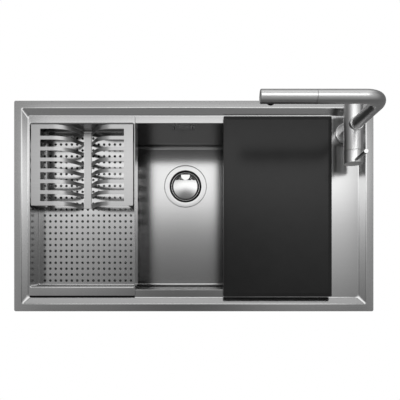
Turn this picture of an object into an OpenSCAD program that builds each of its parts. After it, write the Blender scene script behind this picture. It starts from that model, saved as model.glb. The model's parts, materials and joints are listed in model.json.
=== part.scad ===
/* [Deck] */
// Length of the deck, left to right
deck_l = 870; // [866:1:960]
// Width of the deck, front to back
deck_w = 510; // [504:1:540]
// Thickness of the pressed steel sheet
sheet_t = 1.2; // [0.8:0.1:1.5]
// Radius of the deck's outer corners
deck_r = 4; // [2:0.5:12]
// Width of the flat rim
rim_w = 18; // [16:0.5:20]
// Width in plan of the sloped step inside the rim
slope_w = 15; // [12:0.5:17]
// Drop from the rim to the recessed deck
recess_d = 8; // [6:0.5:9]
// Height of the rim's top above the worktop
rim_h = 2.6; // [2.2:0.1:3.5]
// Width of the seal strips under the rim
seal_w = 9; // [6:0.5:11]

/* [Bowl] */
// Width of the ledge in front of the bowl and behind it
ledge_w = 19.5; // [17:0.5:21]
// Width of the deck between the bowl and the right step
tap_ledge = 94; // [92:1:110]
// Depth of the bowl below the rim
bowl_depth = 200; // [170:1:230]
// Radius of the bowl's corners and bottom edges
bowl_r = 10; // [8:0.5:10.5]

/* [Waste] */
// Distance from the bowl's right wall to the drain's axis
drain_from_right = 335; // [250:1:420]
// Distance from the bowl's back wall to the drain's axis
drain_from_back = 115.5; // [110:0.5:180]
// Diameter of the pressed seat round the drain
seat_d = 123; // [120:0.5:130]
// Depth of the pressed seat
seat_h = 3; // [2.6:0.1:4]
// Outer diameter of the waste flange
flange_d = 117; // [112:0.5:119]
// Inner diameter of the waste dish at its mouth
dish_d = 91; // [88:0.5:94]
// Depth of the waste dish below the seat
dish_h = 32; // [30:0.5:36]
// Wall of the waste dish
dish_t = 1; // [0.8:0.1:1.4]
// Outer diameter of the threaded outlet
outlet_d = 47.8; // [44:0.1:49]
// Length of the threaded outlet
outlet_len = 24; // [18:1:40]
// Diameter of the cap over the strainer basket
cap_d = 73; // [68:0.5:76]
// Depth of the strainer basket
basket_h = 20; // [17:0.5:22]

/* [Overflow] */
// Length of the overflow plate, left to right
over_l = 58; // [50:0.5:64]
// Height of the overflow plate
over_h = 40; // [34:0.5:44]
// Depth of the overflow plate's middle below the rim
over_drop = 40; // [38:0.5:60]
// Gap round the plate's middle panel, where the water goes in
over_gap = 1.4; // [1:0.1:3]
// Outer diameter of the overflow pipe
pipe_d = 22; // [20:0.5:24]

/* [Colander] */
// Clear length of the colander, left to right
tray_l = 253; // [245:1:258]
// Depth of the colander inside
tray_depth = 54.5; // [50:0.5:70]
// Thickness of the colander's sheet
tray_t = 1.2; // [0.8:0.1:1.5]
// Width of the lips at the colander's left and right
lip_w = 2.5; // [1.5:0.1:3]
// Radius of the colander's bottom edges
tray_r = 12; // [9:0.5:12]
// Radius of the colander's upright corners
tray_corner_r = 5; // [4.5:0.5:5.5]
// Width of the colander's front and back flanges
tray_ledge = 19; // [16:0.5:20]
// Thickness of the glides under the colander's flanges
glide_t = 1.2; // [0.8:0.1:2]
// Diameter of the drain holes
hole_d = 6; // [4:0.1:7]
// Spacing of the drain holes, left to right
hole_step_x = 13.78; // [12:0.01:20]
// Spacing of the drain holes, front to back
hole_step_y = 15.15; // [12:0.01:20]

/* [Rack] */
// Width of the plate rack, front to back
rack_w = 197.5; // [190:0.5:240]
// Thickness of the rack's sheet
rack_t = 1.5; // [1:0.1:2]
// Number of plate slots
slots = 7; // [3:1:7]
// Width of a plate slot
slot_w = 17.6; // [14:0.1:18]
// Width of a tine between two slots
tine_w = 8.9; // [7:0.1:10]
// Width of the flat wing outside the slots
wing_w = 22; // [20:0.5:28]
// Width of the bar on which the plates stand
bar_w = 19; // [14:0.5:24]

/* [Board] */
// Length of the board, left to right
board_l = 260.5; // [240:0.5:262]
// Thickness of the board
board_t = 14; // [10:0.5:20]
// Width of the bevel along the board's top edges
board_bevel = 8; // [4:0.5:12]
// How far the board reaches past the bowl's right wall
board_over = 24; // [20:0.5:26]

/* [Tap] */
// Distance from the right step to the tap's axis
tap_inset = 32.5; // [32:0.5:34]
// Distance from the back step to the tap's axis
tap_back = 45; // [36:0.5:60]
// Diameter of the tap's round foot
foot_d = 50; // [46:0.5:52]
// Height of the tap's round foot
foot_h = 5; // [4:0.5:8]
// Diameter of the tap's upright stem
stem_d = 42; // [36:0.5:42.5]
// Diameter of the tap's level body
body_d = 43; // [42:0.5:46]
// Height of the level body's axis above the deck
body_h = 54; // [50:0.5:60]
// Reach of the level body in front of the tap's axis
body_front = 58; // [54:0.5:66]
// Reach of the level body behind the tap's axis
body_back = 52; // [48:0.5:56]
// Length of the lever's cap
lever_len = 28.6; // [24:0.1:34]
// Distance from the body's axis to the lever pin's end
pin_reach = 88; // [70:1:110]
// Diameter of the lever pin at its foot
pin_d = 6.6; // [5:0.1:8]
// Diameter of the lever pin at its end
pin_end_d = 9.8; // [8:0.1:12]
// Lean of the lever pin towards the bowl, in degrees
pin_lean = 3; // [0:0.5:10]

/* [Spout] */
// Diameter of the riser and the spout
spout_d = 27; // [24:0.5:28]
// Wall of the spout tube
spout_t = 2; // [1.5:0.1:2.5]
// Height of the spout's axis above the deck
spout_h = 222; // [180:1:260]
// Radius of the spout's bend, on its axis
bend_r = 38; // [34:0.5:50]
// Reach of the spout from the riser's axis
spout_reach = 239.5; // [225:0.5:270]
// Length of the pull-out head
head_len = 111; // [100:0.5:115]
// Diameter of the aerator
aerator_d = 19.4; // [18:0.1:21]
// How far the aerator stands out below the head
aerator_drop = 8.5; // [5:0.1:10]
// Distance from the head's end to the aerator's axis
aerator_in = 23.5; // [18:0.5:30]

/* [Fits] */
// Clearance between a sliding piece and what it slides on
slide_gap = 0.3; // [0.2:0.05:0.5]
// Radial clearance of a turning or plugging fit
run_gap = 0.05; // [0.02:0.01:0.09]
// Radial clearance round a screw
screw_gap = 0.1; // [0.05:0.05:0.3]
// Gap between the colander's flange and the back step
tray_back_gap = 2.5; // [1.5:0.1:3]
// Gap between the colander's flange and the front step
tray_front_gap = 4.5; // [3:0.1:6]
// Gap between the colander and the bowl's left wall
tray_left_gap = 1; // [0.6:0.1:2]
// Gap between the board and the front step
board_front_gap = 2.8; // [2:0.1:5]
// Gap between the board and the back step
board_back_gap = 6.7; // [3:0.1:9]
// Gap between the plate rack and the colander's side walls
rack_side_gap = 2.5; // [1:0.1:4]
// Gap between the plate rack and the colander's back wall
rack_back_gap = 1; // [0.6:0.1:3]

/* [Hidden] */
$fn = 64;
steel = "silver";
satin = "lightgray";
black = "#2b2d2d";
white = "whitesmoke";
far = 2000;

// Deck and bowl, with z = 0 on the worktop
rec_l = deck_l - 2 * (rim_w + slope_w);
rec_w = deck_w - 2 * (rim_w + slope_w);
deck_z = rim_h - recess_d;
under_z = deck_z - sheet_t;
bowl_l = rec_l - tap_ledge;
bowl_w = rec_w - 2 * ledge_w;
bowl_left = -rec_l / 2;
bowl_right = bowl_left + bowl_l;
bowl_x = (bowl_left + bowl_right) / 2;
bowl_back = bowl_w / 2;
floor_z = rim_h - bowl_depth;
slope_grow = sheet_t * tan(atan(recess_d / slope_w) / 2);

// Waste
drain_x = bowl_right - drain_from_right;
drain_y = bowl_back - drain_from_back;
seat_z = floor_z - seat_h;
seat_under = seat_z - sheet_t;
flange_seal_t = 0.8;
flange_z = seat_z + flange_seal_t;
dish_r = dish_d / 2;
dish_low_r = dish_r - 9;
dish_z = seat_z - dish_h;
drain_hole_r = dish_r + dish_t + 1;
drain_ring_r = 16;
drain_way_r = 5.5;
gasket_t = 2;
body_flange_z = seat_under - gasket_t;
body_wall_r = drain_hole_r + 0.5;
body_wall_t = 3;
body_low_z = dish_z - 22;
outlet_r = outlet_d / 2;
outlet_in_r = outlet_r - 3.5;
outlet_neck = 6;
outlet_z = body_low_z - outlet_neck - outlet_len;
boss_r = 7;
rib_h = 8;
waste_screw_r = 3;
waste_screw_head_r = 6;
basket_top = floor_z - 2;
basket_r = dish_r - 3.5;
basket_low_r = basket_r - 8;
basket_t = 0.8;
basket_z = basket_top - basket_h;
seal_low_z = dish_z + dish_t + slide_gap;
plug_r = 25;
cap_top = floor_z + 1.2;
cap_t = 1;
cap_dome_r = 240;
cap_post_r = 4;
tab_r = 12.5;

// Overflow
over_z = rim_h - over_drop;
over_r = 9;
over_seal_t = 1.5;
housing_d = 19;
housing_wall = 2;
wall_back = bowl_back + sheet_t;
pipe_r = pipe_d / 2;
pipe_t = 1.5;
pipe_bend = 30;
pipe_y = wall_back + pipe_r + 1;
over_lip = 5;
pipe_top = over_z - over_h / 2 - over_lip - 0.5;
socket_len = 16;
spigot_len = 12;
pipe_low = body_flange_z - 22;
pipe_front = drain_y + body_wall_r + body_wall_t + 4;

// Colander, with its own origin in the middle of its flange's top
tray_z = deck_z + slide_gap + glide_t + tray_t;
tray_flange_w = rec_w - tray_back_gap - tray_front_gap;
tray_y = (tray_front_gap - tray_back_gap) / 2;
tray_w = tray_flange_w - 2 * tray_ledge;
tray_out_l = tray_l + 2 * lip_w;
tray_x = bowl_left + tray_left_gap + tray_out_l / 2;
tray_flange_r = 2;
glide_out = 2.6;
glide_in = 6;
tray_floor = tray_z - tray_depth;
flat_l = tray_l - 2 * tray_r;
flat_w = tray_w - 2 * tray_r;
holes_x = floor((flat_l - hole_d - 2) / hole_step_x);
holes_y = floor((flat_w - hole_d - 2) / hole_step_y);

// Plate rack, with z = 0 on top of its wings
rack_l = tray_l - 2 * rack_side_gap;
rack_y = tray_y + tray_w / 2 - rack_back_gap - rack_w / 2;
rack_drop = tray_depth - slide_gap - rack_t;
rack_angle = 60;
rack_top_r = 45;
rack_low_r = 3;
rack_straight = (rack_drop - (rack_top_r + rack_low_r) * (1 - cos(rack_angle))) / sin(rack_angle);
rack_flat_x = bar_w / 2 + (rack_low_r + rack_top_r) * sin(rack_angle) + rack_straight * cos(rack_angle);
foot_l = 12;
foot_w = 7;

// Board
board_x = bowl_right + board_over - board_l / 2;
board_w = rec_w - board_front_gap - board_back_gap;
board_y = (board_front_gap - board_back_gap) / 2;
pad_t = 1;
board_z = deck_z + slide_gap + pad_t;

// Tap
tap_x = rec_l / 2 - tap_inset;
tap_y = rec_w / 2 - tap_back;
tap_seal_t = 1;
foot_z = deck_z + tap_seal_t;
body_z = deck_z + body_h;
body_r = body_d / 2;
body_bore_r = body_r - 4.5;
plug_t = 3;
shank_r = 16.4;
shank_len = 58;
tap_hole_r = 17.5;
plate_t = 5;
plate_left = 38;
plate_right = 24;
plate_front = 58;
plate_back = 40;
stem_bore_r = 11;
nut_h = 8;
nut_r = 24;
washer_t = 3;
inlet_r = 4.6;
inlet_len = 12;
inlet_x = 8;
inlet_end = 4;
shank_z = under_z - shank_len;
seam = 0.4;
cap_face = 4;
cap_wall = 3.5;
spindle_r = 4.5;
spindle_in = 18;
cartridge_r = body_bore_r - run_gap;
cartridge_len = 42;
neck_r = 13;
neck_len = 12;
pin_foot_r = 2.4;
pin_in = body_r - cap_wall;
pin_y = tap_y - body_front - seam - lever_len + 5.4;
lever_front = tap_y - body_front - seam - lever_len;

// Spout
spout_r = spout_d / 2;
spout_in_r = spout_r - spout_t;
spout_z = deck_z + spout_h;
collar_r = spout_r + 2.2;
collar_top = body_z + body_r + 4;
riser_low = body_z + 4;
head_right = tap_x - spout_reach + head_len;
head_left = tap_x - spout_reach;
head_t = 2.5;
neck_plug_len = 15;
stub_r = 6.5;
stub_end = tap_x - bend_r - 3;
aerator_x = head_left + aerator_in;
aerator_r = aerator_d / 2;

// Fixings
cutout_gap = 3.5;
cutout_x = deck_l / 2 - rim_w + cutout_gap;
worktop_t = 30;
rail_d = 10;
rail_h = 12;
rail_t = 1.5;
clip_w = 16;
clip_t = 2;
clip_screw_r = 2.5;
clip_head_r = 4.5;
clip_drop = 18;
clip_arm_z = -worktop_t - clip_drop;
rail_off = 2.5;
rail_tap_off = 6;
rail_end = 30;
pad_edge = 16;
pad_drop = 50;

module round_rect(l, w, r) {
    square([l - 2 * r, w], center = true);
    square([l, w - 2 * r], center = true);
    for (x = [-1, 1], y = [-1, 1]) translate([x * (l / 2 - r), y * (w / 2 - r)]) circle(r);
}

// Solid of a box with one radius on its upright and bottom edges
module pit(l, w, z0, z1, r) {
    translate([0, 0, z0 + r]) linear_extrude(z1 - z0 - r) round_rect(l, w, r);
    translate([0, 0, z0]) linear_extrude(r) square([l - 2 * r, w - 2 * r], center = true);
    for (y = [-1, 1]) translate([0, y * (w / 2 - r), z0 + r]) rotate([0, 90, 0])
        cylinder(h = l - 2 * r, r = r, center = true);
    for (x = [-1, 1]) translate([x * (l / 2 - r), 0, z0 + r]) rotate([90, 0, 0])
        cylinder(h = w - 2 * r, r = r, center = true);
    for (x = [-1, 1], y = [-1, 1]) translate([x * (l / 2 - r), y * (w / 2 - r), z0 + r]) sphere(r);
}

// Solid with four mitred sloping sides, l by w at z0 and wider by run on each side at z1
module trough(l, w, z0, z1, run) {
    intersection() {
        rotate([90, 0, 0]) linear_extrude(far, center = true)
            polygon([[-l / 2, z0], [l / 2, z0], [l / 2 + run, z1], [-l / 2 - run, z1]]);
        rotate([90, 0, 90]) linear_extrude(far, center = true)
            polygon([[-w / 2, z0], [w / 2, z0], [w / 2 + run, z1], [-w / 2 - run, z1]]);
    }
}

// Outline of a pan seen from one side, with both lower corners rounded
module pan_side(l, z0, z1, r) {
    translate([-l / 2, z0 + r]) square([l, z1 - z0 - r]);
    translate([r - l / 2, z0]) square([l - 2 * r, r]);
    for (x = [-1, 1]) translate([x * (l / 2 - r), z0 + r]) circle(r);
}

// Solid of the colander's pan, whose radii grow outwards by grow
module pan(l, w, z0, z1, grow) {
    intersection() {
        translate([0, 0, z0]) linear_extrude(z1 - z0) round_rect(l, w, tray_corner_r + grow);
        rotate([90, 0, 0]) linear_extrude(w + 2, center = true) pan_side(l, z0, z1, tray_r + grow);
        rotate([90, 0, 90]) linear_extrude(l + 2, center = true) pan_side(w, z0, z1, tray_r + grow);
    }
}

module tube(h, r, r_in) {
    difference() {
        cylinder(h = h, r = r);
        translate([0, 0, -1]) cylinder(h = h + 2, r = r_in);
    }
}

module at_drain(z) {
    translate([drain_x, drain_y, z]) children();
}

module at_tap(z) {
    translate([tap_x, tap_y, z]) children();
}

// Lays a piece built along z down along the tap's level body, its foot at y and its top towards the front
module along_body(y) {
    translate([tap_x, y, body_z]) rotate([90, 0, 0]) children();
}

module rim_plate() {
    difference() {
        linear_extrude(rim_h) round_rect(deck_l, deck_w, deck_r);
        translate([0, 0, -1]) linear_extrude(rim_h - sheet_t + 1)
            round_rect(deck_l - 2 * sheet_t, deck_w - 2 * sheet_t, deck_r - sheet_t);
    }
}

module basin() color(steel) difference() {
    union() {
        rim_plate();
        trough(rec_l + 2 * slope_grow, rec_w + 2 * slope_grow, under_z, rim_h - sheet_t, slope_w);
        translate([bowl_x, 0, 0])
            pit(bowl_l + 2 * sheet_t, bowl_w + 2 * sheet_t, floor_z - sheet_t, deck_z, bowl_r + sheet_t);
        at_drain(seat_under) cylinder(h = seat_h + sheet_t / 2, r = seat_d / 2 + sheet_t);
    }
    trough(rec_l, rec_w, deck_z, rim_h + recess_d, 2 * slope_w);
    translate([bowl_x, 0, 0]) pit(bowl_l, bowl_w, floor_z, rim_h, bowl_r);
    at_drain(seat_z) cylinder(h = seat_h + 1, r = seat_d / 2);
    at_drain(seat_under - 1) cylinder(h = seat_h + sheet_t + 2, r = drain_hole_r);
    at_tap(under_z - 1) cylinder(h = sheet_t + 2, r = tap_hole_r);
    translate([drain_x, bowl_back - 1, over_z]) rotate([-90, 0, 0]) linear_extrude(sheet_t + 2)
        round_rect(over_l + 2 * screw_gap, over_h + 2 * screw_gap, over_r + screw_gap);
}

module rim_seal() color(black) {
    h = rim_h - sheet_t;
    long = deck_l - 2 * sheet_t - 2;
    wide = deck_w - 2 * sheet_t - 2;
    for (y = [-1, 1]) translate([0, y * (wide - seal_w) / 2, h / 2]) cube([long, seal_w, h], center = true);
    for (x = [-1, 1]) translate([x * (long - seal_w) / 2, 0, h / 2])
        cube([seal_w, wide - 2 * seal_w, h], center = true);
}

// Channel along x, its back at y = 0 and its mouth towards +y
module rail(len) {
    difference() {
        translate([-len / 2, 0, -rail_h]) cube([len, rail_d, rail_h]);
        translate([-len / 2 - 1, rail_t, -rail_h + rail_t]) cube([len + 2, rail_d, rail_h - 2 * rail_t]);
    }
}

// Places a piece at the back of the rail on one side: "back", "front", "left" or "right"
module on_side(side, along) {
    out = side == "left" ? rec_l / 2 + sheet_t
        : side == "right" ? rec_l / 2 - rail_d - rail_tap_off : wall_back + rail_off;
    turn = side == "back" ? 0 : side == "left" ? 90 : side == "front" ? 180 : -90;
    rotate([0, 0, turn]) translate([along, out, 0]) children();
}

module fixing_rails() color(steel) {
    back_left_end = drain_x - over_l / 2 - 22;
    back_right = [drain_x + over_l / 2 + 22, bowl_right - 20];
    left = bowl_left + rail_end;
    translate([0, 0, under_z]) {
        on_side("back", (left + back_left_end) / 2) rail(back_left_end - left);
        on_side("back", (back_right[0] + back_right[1]) / 2) rail(back_right[1] - back_right[0]);
        on_side("front", -bowl_x) rail(bowl_l - 2 * rail_end);
        on_side("left", 0) rail(bowl_w - 2 * rail_end);
        on_side("right", bowl_w / 9) rail(0.6 * bowl_w);
    }
}

// How far the clamping screw stands from the back of the rail on each side
function screw_out(side) = side == "left" ? cutout_x + 6 - rec_l / 2 - sheet_t
    : side == "right" ? cutout_x + 6 - rec_l / 2 + rail_d + rail_tap_off
    : deck_w / 2 - rim_w + cutout_gap + 6 - wall_back - rail_off;

module each_clip() {
    for (part = [0.13, 0.35, 0.7, 0.91]) {
        $side = "back";
        on_side("back", bowl_left + part * bowl_l) children();
    }
    for (part = [0.13, 0.42, 0.65, 0.91]) {
        $side = "front";
        on_side("front", -bowl_left - part * bowl_l) children();
    }
    for (y = [-bowl_w / 4, bowl_w / 4]) {
        $side = "left";
        on_side("left", y) children();
    }
    for (y = [-bowl_w / 8, bowl_w / 4]) {
        $side = "right";
        on_side("right", y) children();
    }
}

module fixing_clips() color(satin) each_clip() {
    tongue = rail_d - 2 * rail_t;
    leg_y = rail_d + screw_gap;
    hook_z = under_z - rail_h + rail_t;
    difference() {
        translate([-clip_w / 2, 0, 0]) union() {
            translate([0, leg_y, clip_arm_z]) cube([clip_w, clip_t, under_z - rail_t - clip_arm_z]);
            translate([0, leg_y - tongue, hook_z]) cube([clip_w, tongue + clip_t, clip_t]);
            translate([0, leg_y, clip_arm_z]) cube([clip_w, screw_out($side) - leg_y + 6, clip_t]);
        }
        translate([0, screw_out($side), clip_arm_z - 1])
            cylinder(h = clip_t + 2, r = clip_screw_r + screw_gap);
    }
}

module clip_screws() color(steel) each_clip() {
    translate([0, screw_out($side), clip_arm_z - 6]) {
        cylinder(h = -worktop_t - clip_arm_z + 6 - 2, r = clip_screw_r);
        translate([0, 0, -worktop_t - clip_arm_z + 6 - 2]) cylinder(h = 2, r1 = clip_screw_r, r2 = 1.2);
        translate([0, 0, -3]) cylinder(h = 3, r = clip_head_r);
    }
}

module sound_pads() color(black) {
    pad_h = 2.5;
    z = floor_z - sheet_t - pad_h;
    edge = 2 * bowl_r + pad_edge;
    left_end = drain_x - seat_d / 2 - 20;
    right_start = drain_x + seat_d / 2 + 20;
    translate([bowl_left + edge, -bowl_w / 2 + edge, z])
        cube([left_end - bowl_left - edge, bowl_w - 2 * edge, pad_h]);
    translate([right_start, -bowl_w / 2 + edge, z])
        cube([bowl_right - edge - right_start, bowl_w - 2 * edge, pad_h]);
    translate([bowl_left + edge, -wall_back - pad_h, floor_z + pad_drop])
        cube([bowl_l - 2 * edge, pad_h, bowl_depth - 2 * pad_drop - 10]);
}

module waste_flange() color(steel) at_drain(0) difference() {
    rotate_extrude() polygon([
        [0, dish_z], [dish_low_r + dish_t, dish_z], [dish_r + dish_t, seat_z - 5],
        [dish_r + dish_t, flange_z], [flange_d / 2, flange_z], [flange_d / 2, flange_z + dish_t],
        [flange_d / 2 - 3, flange_z + 2 * dish_t], [dish_r + 3, flange_z + 2 * dish_t],
        [dish_r, flange_z + dish_t], [dish_r, seat_z - 5], [dish_low_r, dish_z + dish_t],
        [0, dish_z + dish_t]
    ]);
    translate([0, 0, dish_z - 1]) cylinder(h = dish_t + 2, r = waste_screw_r + screw_gap);
    for (a = [0 : 60 : 300]) rotate([0, 0, a]) translate([drain_ring_r, 0, dish_z - 1])
        cylinder(h = dish_t + 2, r = drain_way_r);
}

module waste_gasket() color(black) at_drain(seat_z)
    tube(flange_seal_t, flange_d / 2 - 1, drain_hole_r + 0.3);

module waste_body() color(white) at_drain(0) difference() {
    union() {
        difference() {
            union() {
                rotate_extrude() polygon([
                    [0, body_low_z], [body_wall_r - 4, body_low_z],
                    [body_wall_r + body_wall_t, body_low_z + 6],
                    [body_wall_r + body_wall_t, body_flange_z - 4], [seat_d / 2 - 2, body_flange_z - 4],
                    [seat_d / 2 - 2, body_flange_z], [0, body_flange_z]
                ]);
                translate([0, 0, outlet_z]) cylinder(h = outlet_len, r = outlet_r);
                translate([0, 0, outlet_z]) cylinder(h = body_low_z - outlet_z + 1, r = outlet_r - 1);
                translate([0, body_wall_r, pipe_low]) rotate([-90, 0, 0])
                    cylinder(h = body_wall_t + socket_len, r = pipe_r + screw_gap + 2.5);
            }
            rotate_extrude() polygon([
                [0, body_low_z - 1], [outlet_in_r, body_low_z - 1], [outlet_in_r, body_low_z + 3],
                [body_wall_r - 5, body_low_z + 3], [body_wall_r, body_low_z + 8],
                [body_wall_r, body_flange_z + 1], [0, body_flange_z + 1]
            ]);
        }
        intersection() {
            translate([0, 0, body_low_z]) cylinder(h = dish_z - body_low_z, r = body_wall_r + 1);
            union() {
                translate([0, 0, body_low_z]) cylinder(h = far, r = boss_r);
                for (a = [45, 135]) rotate([0, 0, a]) translate([-far / 2, -1.5, body_low_z + 1])
                    cube([far, 3, rib_h]);
            }
        }
    }
    translate([0, 0, outlet_z - 1]) cylinder(h = body_low_z - outlet_z + 2, r = outlet_in_r);
    translate([0, 0, body_low_z + 4]) cylinder(h = far, r = waste_screw_r + screw_gap);
    translate([0, body_wall_r - 2, pipe_low]) rotate([-90, 0, 0])
        cylinder(h = far, r = pipe_r + screw_gap);
}

module body_gasket() color(black) at_drain(body_flange_z) tube(gasket_t, seat_d / 2 - 2, drain_hole_r + 1);

module waste_screw() color(steel) at_drain(0) {
    translate([0, 0, body_low_z + 6]) cylinder(h = dish_z + dish_t - body_low_z - 6, r = waste_screw_r);
    translate([0, 0, dish_z + dish_t]) intersection() {
        cylinder(h = 2.2, r = waste_screw_head_r);
        translate([0, 0, 2.2 - 14]) sphere(14);
    }
}

module overflow_cover() color(steel) translate([drain_x, bowl_back, over_z]) rotate([-90, 0, 0]) {
    panel_l = over_l - 14;
    panel_h = over_h - 13;
    linear_extrude(sheet_t) difference() {
        round_rect(over_l, over_h, over_r);
        round_rect(panel_l + 2 * over_gap, panel_h + 2 * over_gap, 5);
    }
    linear_extrude(sheet_t) round_rect(panel_l, panel_h, 4);
    for (x = [-1, 1]) translate([x * panel_l / 4, 0, sheet_t + 0.5])
        cube([4, panel_h + 2 * over_gap + 4, 1], center = true);
}

module overflow_seal() color(black) translate([drain_x, wall_back, over_z]) rotate([-90, 0, 0])
    linear_extrude(over_seal_t) difference() {
        round_rect(over_l + 14, over_h + 2 * over_lip, over_r + 4);
        round_rect(over_l + 2, over_h + 2, over_r + 1);
    }

module overflow_housing() color(white) translate([drain_x, wall_back + over_seal_t, over_z]) difference() {
    union() {
        rotate([-90, 0, 0]) linear_extrude(housing_wall)
            round_rect(over_l + 14, over_h + 2 * over_lip, over_r + 4);
        rotate([-90, 0, 0]) linear_extrude(housing_d + housing_wall) round_rect(over_l, over_h, over_r);
        translate([0, pipe_y - wall_back - over_seal_t, pipe_top - over_z - spigot_len])
            cylinder(h = spigot_len + over_lip + housing_wall, r = pipe_r - pipe_t - run_gap);
    }
    translate([0, -1, 0]) rotate([-90, 0, 0]) linear_extrude(housing_d + 1)
        round_rect(over_l - 2 * housing_wall, over_h - 2 * housing_wall, over_r - housing_wall);
    translate([0, pipe_y - wall_back - over_seal_t, pipe_top - over_z - spigot_len - 1])
        cylinder(h = spigot_len + over_lip + 4, r = pipe_r - pipe_t - 2);
}

module overflow_pipe() color(white) {
    r_in = pipe_r - pipe_t;
    translate([drain_x, pipe_y, pipe_low + pipe_bend]) tube(pipe_top - pipe_low - pipe_bend, pipe_r, r_in);
    translate([drain_x, pipe_y - pipe_bend, pipe_low + pipe_bend]) rotate([0, 90, 0])
        rotate_extrude(angle = 90) translate([pipe_bend, 0]) difference() {
            circle(pipe_r);
            circle(r_in);
        }
    translate([drain_x, pipe_y - pipe_bend, pipe_low]) rotate([90, 0, 0])
        tube(pipe_y - pipe_bend - pipe_front, pipe_r, r_in);
}

module strainer_basket() color(steel) at_drain(0) difference() {
    rotate_extrude() polygon([
        [0, basket_z], [basket_low_r, basket_z], [basket_r - 3, basket_top - 1],
        [basket_r, basket_top - 1], [basket_r, basket_top], [basket_r - 3 - basket_t, basket_top],
        [basket_low_r - basket_t, basket_z + basket_t],
        [cap_post_r, basket_z + basket_t], [cap_post_r, cap_top - 6], [0, cap_top - 6]
    ]);
    for (a = [0 : 30 : 330]) rotate([0, 0, a]) {
        translate([basket_low_r - 6, 0, basket_z - 1]) cylinder(h = basket_t + 2, r = 2.5);
        translate([basket_low_r - 15, 0, basket_z - 1]) cylinder(h = basket_t + 2, r = 2);
        translate([basket_low_r - 2, -1.5, basket_z + 4]) cube([12, 3, basket_h - 8]);
    }
}

// Domed cap with a window at its back edge, crossed by a rounded lifting tab
module strainer_cap() color(steel) at_drain(0) {
    dome_z = cap_top - cap_dome_r;
    window_y = cap_d / 4;
    intersection() {
        difference() {
            translate([0, 0, dome_z]) sphere(cap_dome_r, $fn = 200);
            translate([0, 0, dome_z]) sphere(cap_dome_r - cap_t, $fn = 200);
        }
        translate([0, 0, cap_top - 10]) difference() {
            cylinder(h = 12, r = cap_d / 2);
            intersection() {
                translate([0, 0, -1]) cylinder(h = 20, r = cap_d / 2 - 2.5);
                translate([-far / 2, window_y, -1]) cube([far, far, 20]);
            }
        }
    }
    translate([0, 0, cap_top - 8]) tube(7.2, 8, cap_post_r + run_gap);
    intersection() {
        translate([0, 0, cap_top - 3.4]) cylinder(h = 1.6, r = cap_d / 2 - 1);
        translate([0, window_y + tab_r + 0.2, cap_top - 3.4]) union() {
            cylinder(h = 1.6, r = tab_r);
            translate([-tab_r, 0, 0]) cube([2 * tab_r, cap_d / 2, 1.6]);
        }
    }
}

module strainer_seal() color(black) at_drain(seal_low_z) difference() {
    cylinder(h = basket_z - seal_low_z, r = plug_r);
    translate([0, 0, -1]) cylinder(h = 2.2 + 1, r = waste_screw_head_r + 1);
}

module colander_tray() color(steel) translate([tray_x, tray_y, 0]) difference() {
    union() {
        translate([0, 0, tray_z - tray_t]) linear_extrude(tray_t)
            round_rect(tray_out_l, tray_flange_w, tray_flange_r);
        pan(tray_l + 2 * tray_t, tray_w + 2 * tray_t, tray_floor - tray_t, tray_z - tray_t / 2, tray_t);
    }
    pan(tray_l, tray_w, tray_floor, tray_z + tray_r, 0);
    translate([0, 0, tray_floor]) cube([flat_l, flat_w, 3 * tray_t], center = true);
}

module perforated_floor() color(steel) translate([tray_x, tray_y, tray_floor - tray_t])
    linear_extrude(tray_t) difference() {
        square([flat_l, flat_w], center = true);
        for (i = [0 : holes_x], j = [0 : holes_y])
            translate([(i - holes_x / 2) * hole_step_x, (j - holes_y / 2) * hole_step_y])
                circle(d = hole_d, $fn = 20);
    }

// Black glides under the front and back flanges, of which the front one shows in front of its flange
module tray_glides() color(black) translate([tray_x, tray_y, tray_z - tray_t - glide_t]) {
    translate([-tray_out_l / 2 + 1, -tray_flange_w / 2 - glide_out, 0])
        cube([tray_out_l - 2, glide_in + glide_out, glide_t]);
    translate([-tray_out_l / 2 + 1, tray_flange_w / 2 - glide_in - 1, 0])
        cube([tray_out_l - 2, glide_in, glide_t]);
}

// Right half of the rack's bent line, from its wing to its bar, moved down from the top face by off
function rack_half(off) = concat(
    [[rack_l / 2, -off]],
    [for (a = [0 : 6 : rack_angle])
        [rack_flat_x - (rack_top_r - off) * sin(a), -rack_top_r + (rack_top_r - off) * cos(a)]],
    [for (a = [rack_angle : -15 : 0])
        [bar_w / 2 + (rack_low_r + off) * sin(a), -rack_drop + rack_low_r - (rack_low_r + off) * cos(a)]]
);

function reversed(list) = [for (i = [len(list) - 1 : -1 : 0]) list[i]];

function flipped(list) = [for (p = list) [-p[0], p[1]]];

// The rack's bent sheet before its slots are cut
module rack_strip() translate([tray_x, rack_y, tray_z]) difference() {
    top = concat(rack_half(0), reversed(flipped(rack_half(0))));
    low = concat(rack_half(rack_t), reversed(flipped(rack_half(rack_t))));
    rotate([90, 0, 0]) linear_extrude(rack_w, center = true) polygon(concat(top, reversed(low)));
    // Room for the colander's bottom radius at the back end of the bar
    translate([0, rack_w / 2 + rack_back_gap - tray_r, tray_r - tray_depth]) rotate([90, 0, 90])
        linear_extrude(rack_l + 2, center = true) difference() {
            translate([0, -2 * tray_r]) square(2 * tray_r);
            circle(tray_r - slide_gap);
        }
}

// The part of the strip between two distances from the bar's middle, on both sides
module rack_band(near, end) intersection() {
    rack_strip();
    for (x = [-1, 1]) translate([tray_x + x * (near + end) / 2, rack_y, tray_z])
        cube([end - near, 2 * rack_w, 3 * rack_drop], center = true);
}

module rack_bar() color(steel) intersection() {
    rack_strip();
    translate([tray_x, rack_y, tray_z]) cube([bar_w, 2 * rack_w, 3 * rack_drop], center = true);
}

module rack_tines() color(steel) difference() {
    rack_band(bar_w / 2, rack_l / 2 - wing_w);
    for (i = [0 : slots - 1])
        translate([tray_x, rack_y + (i - (slots - 1) / 2) * (slot_w + tine_w), tray_z])
            cube([rack_l, slot_w, 3 * rack_drop], center = true);
}

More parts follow.
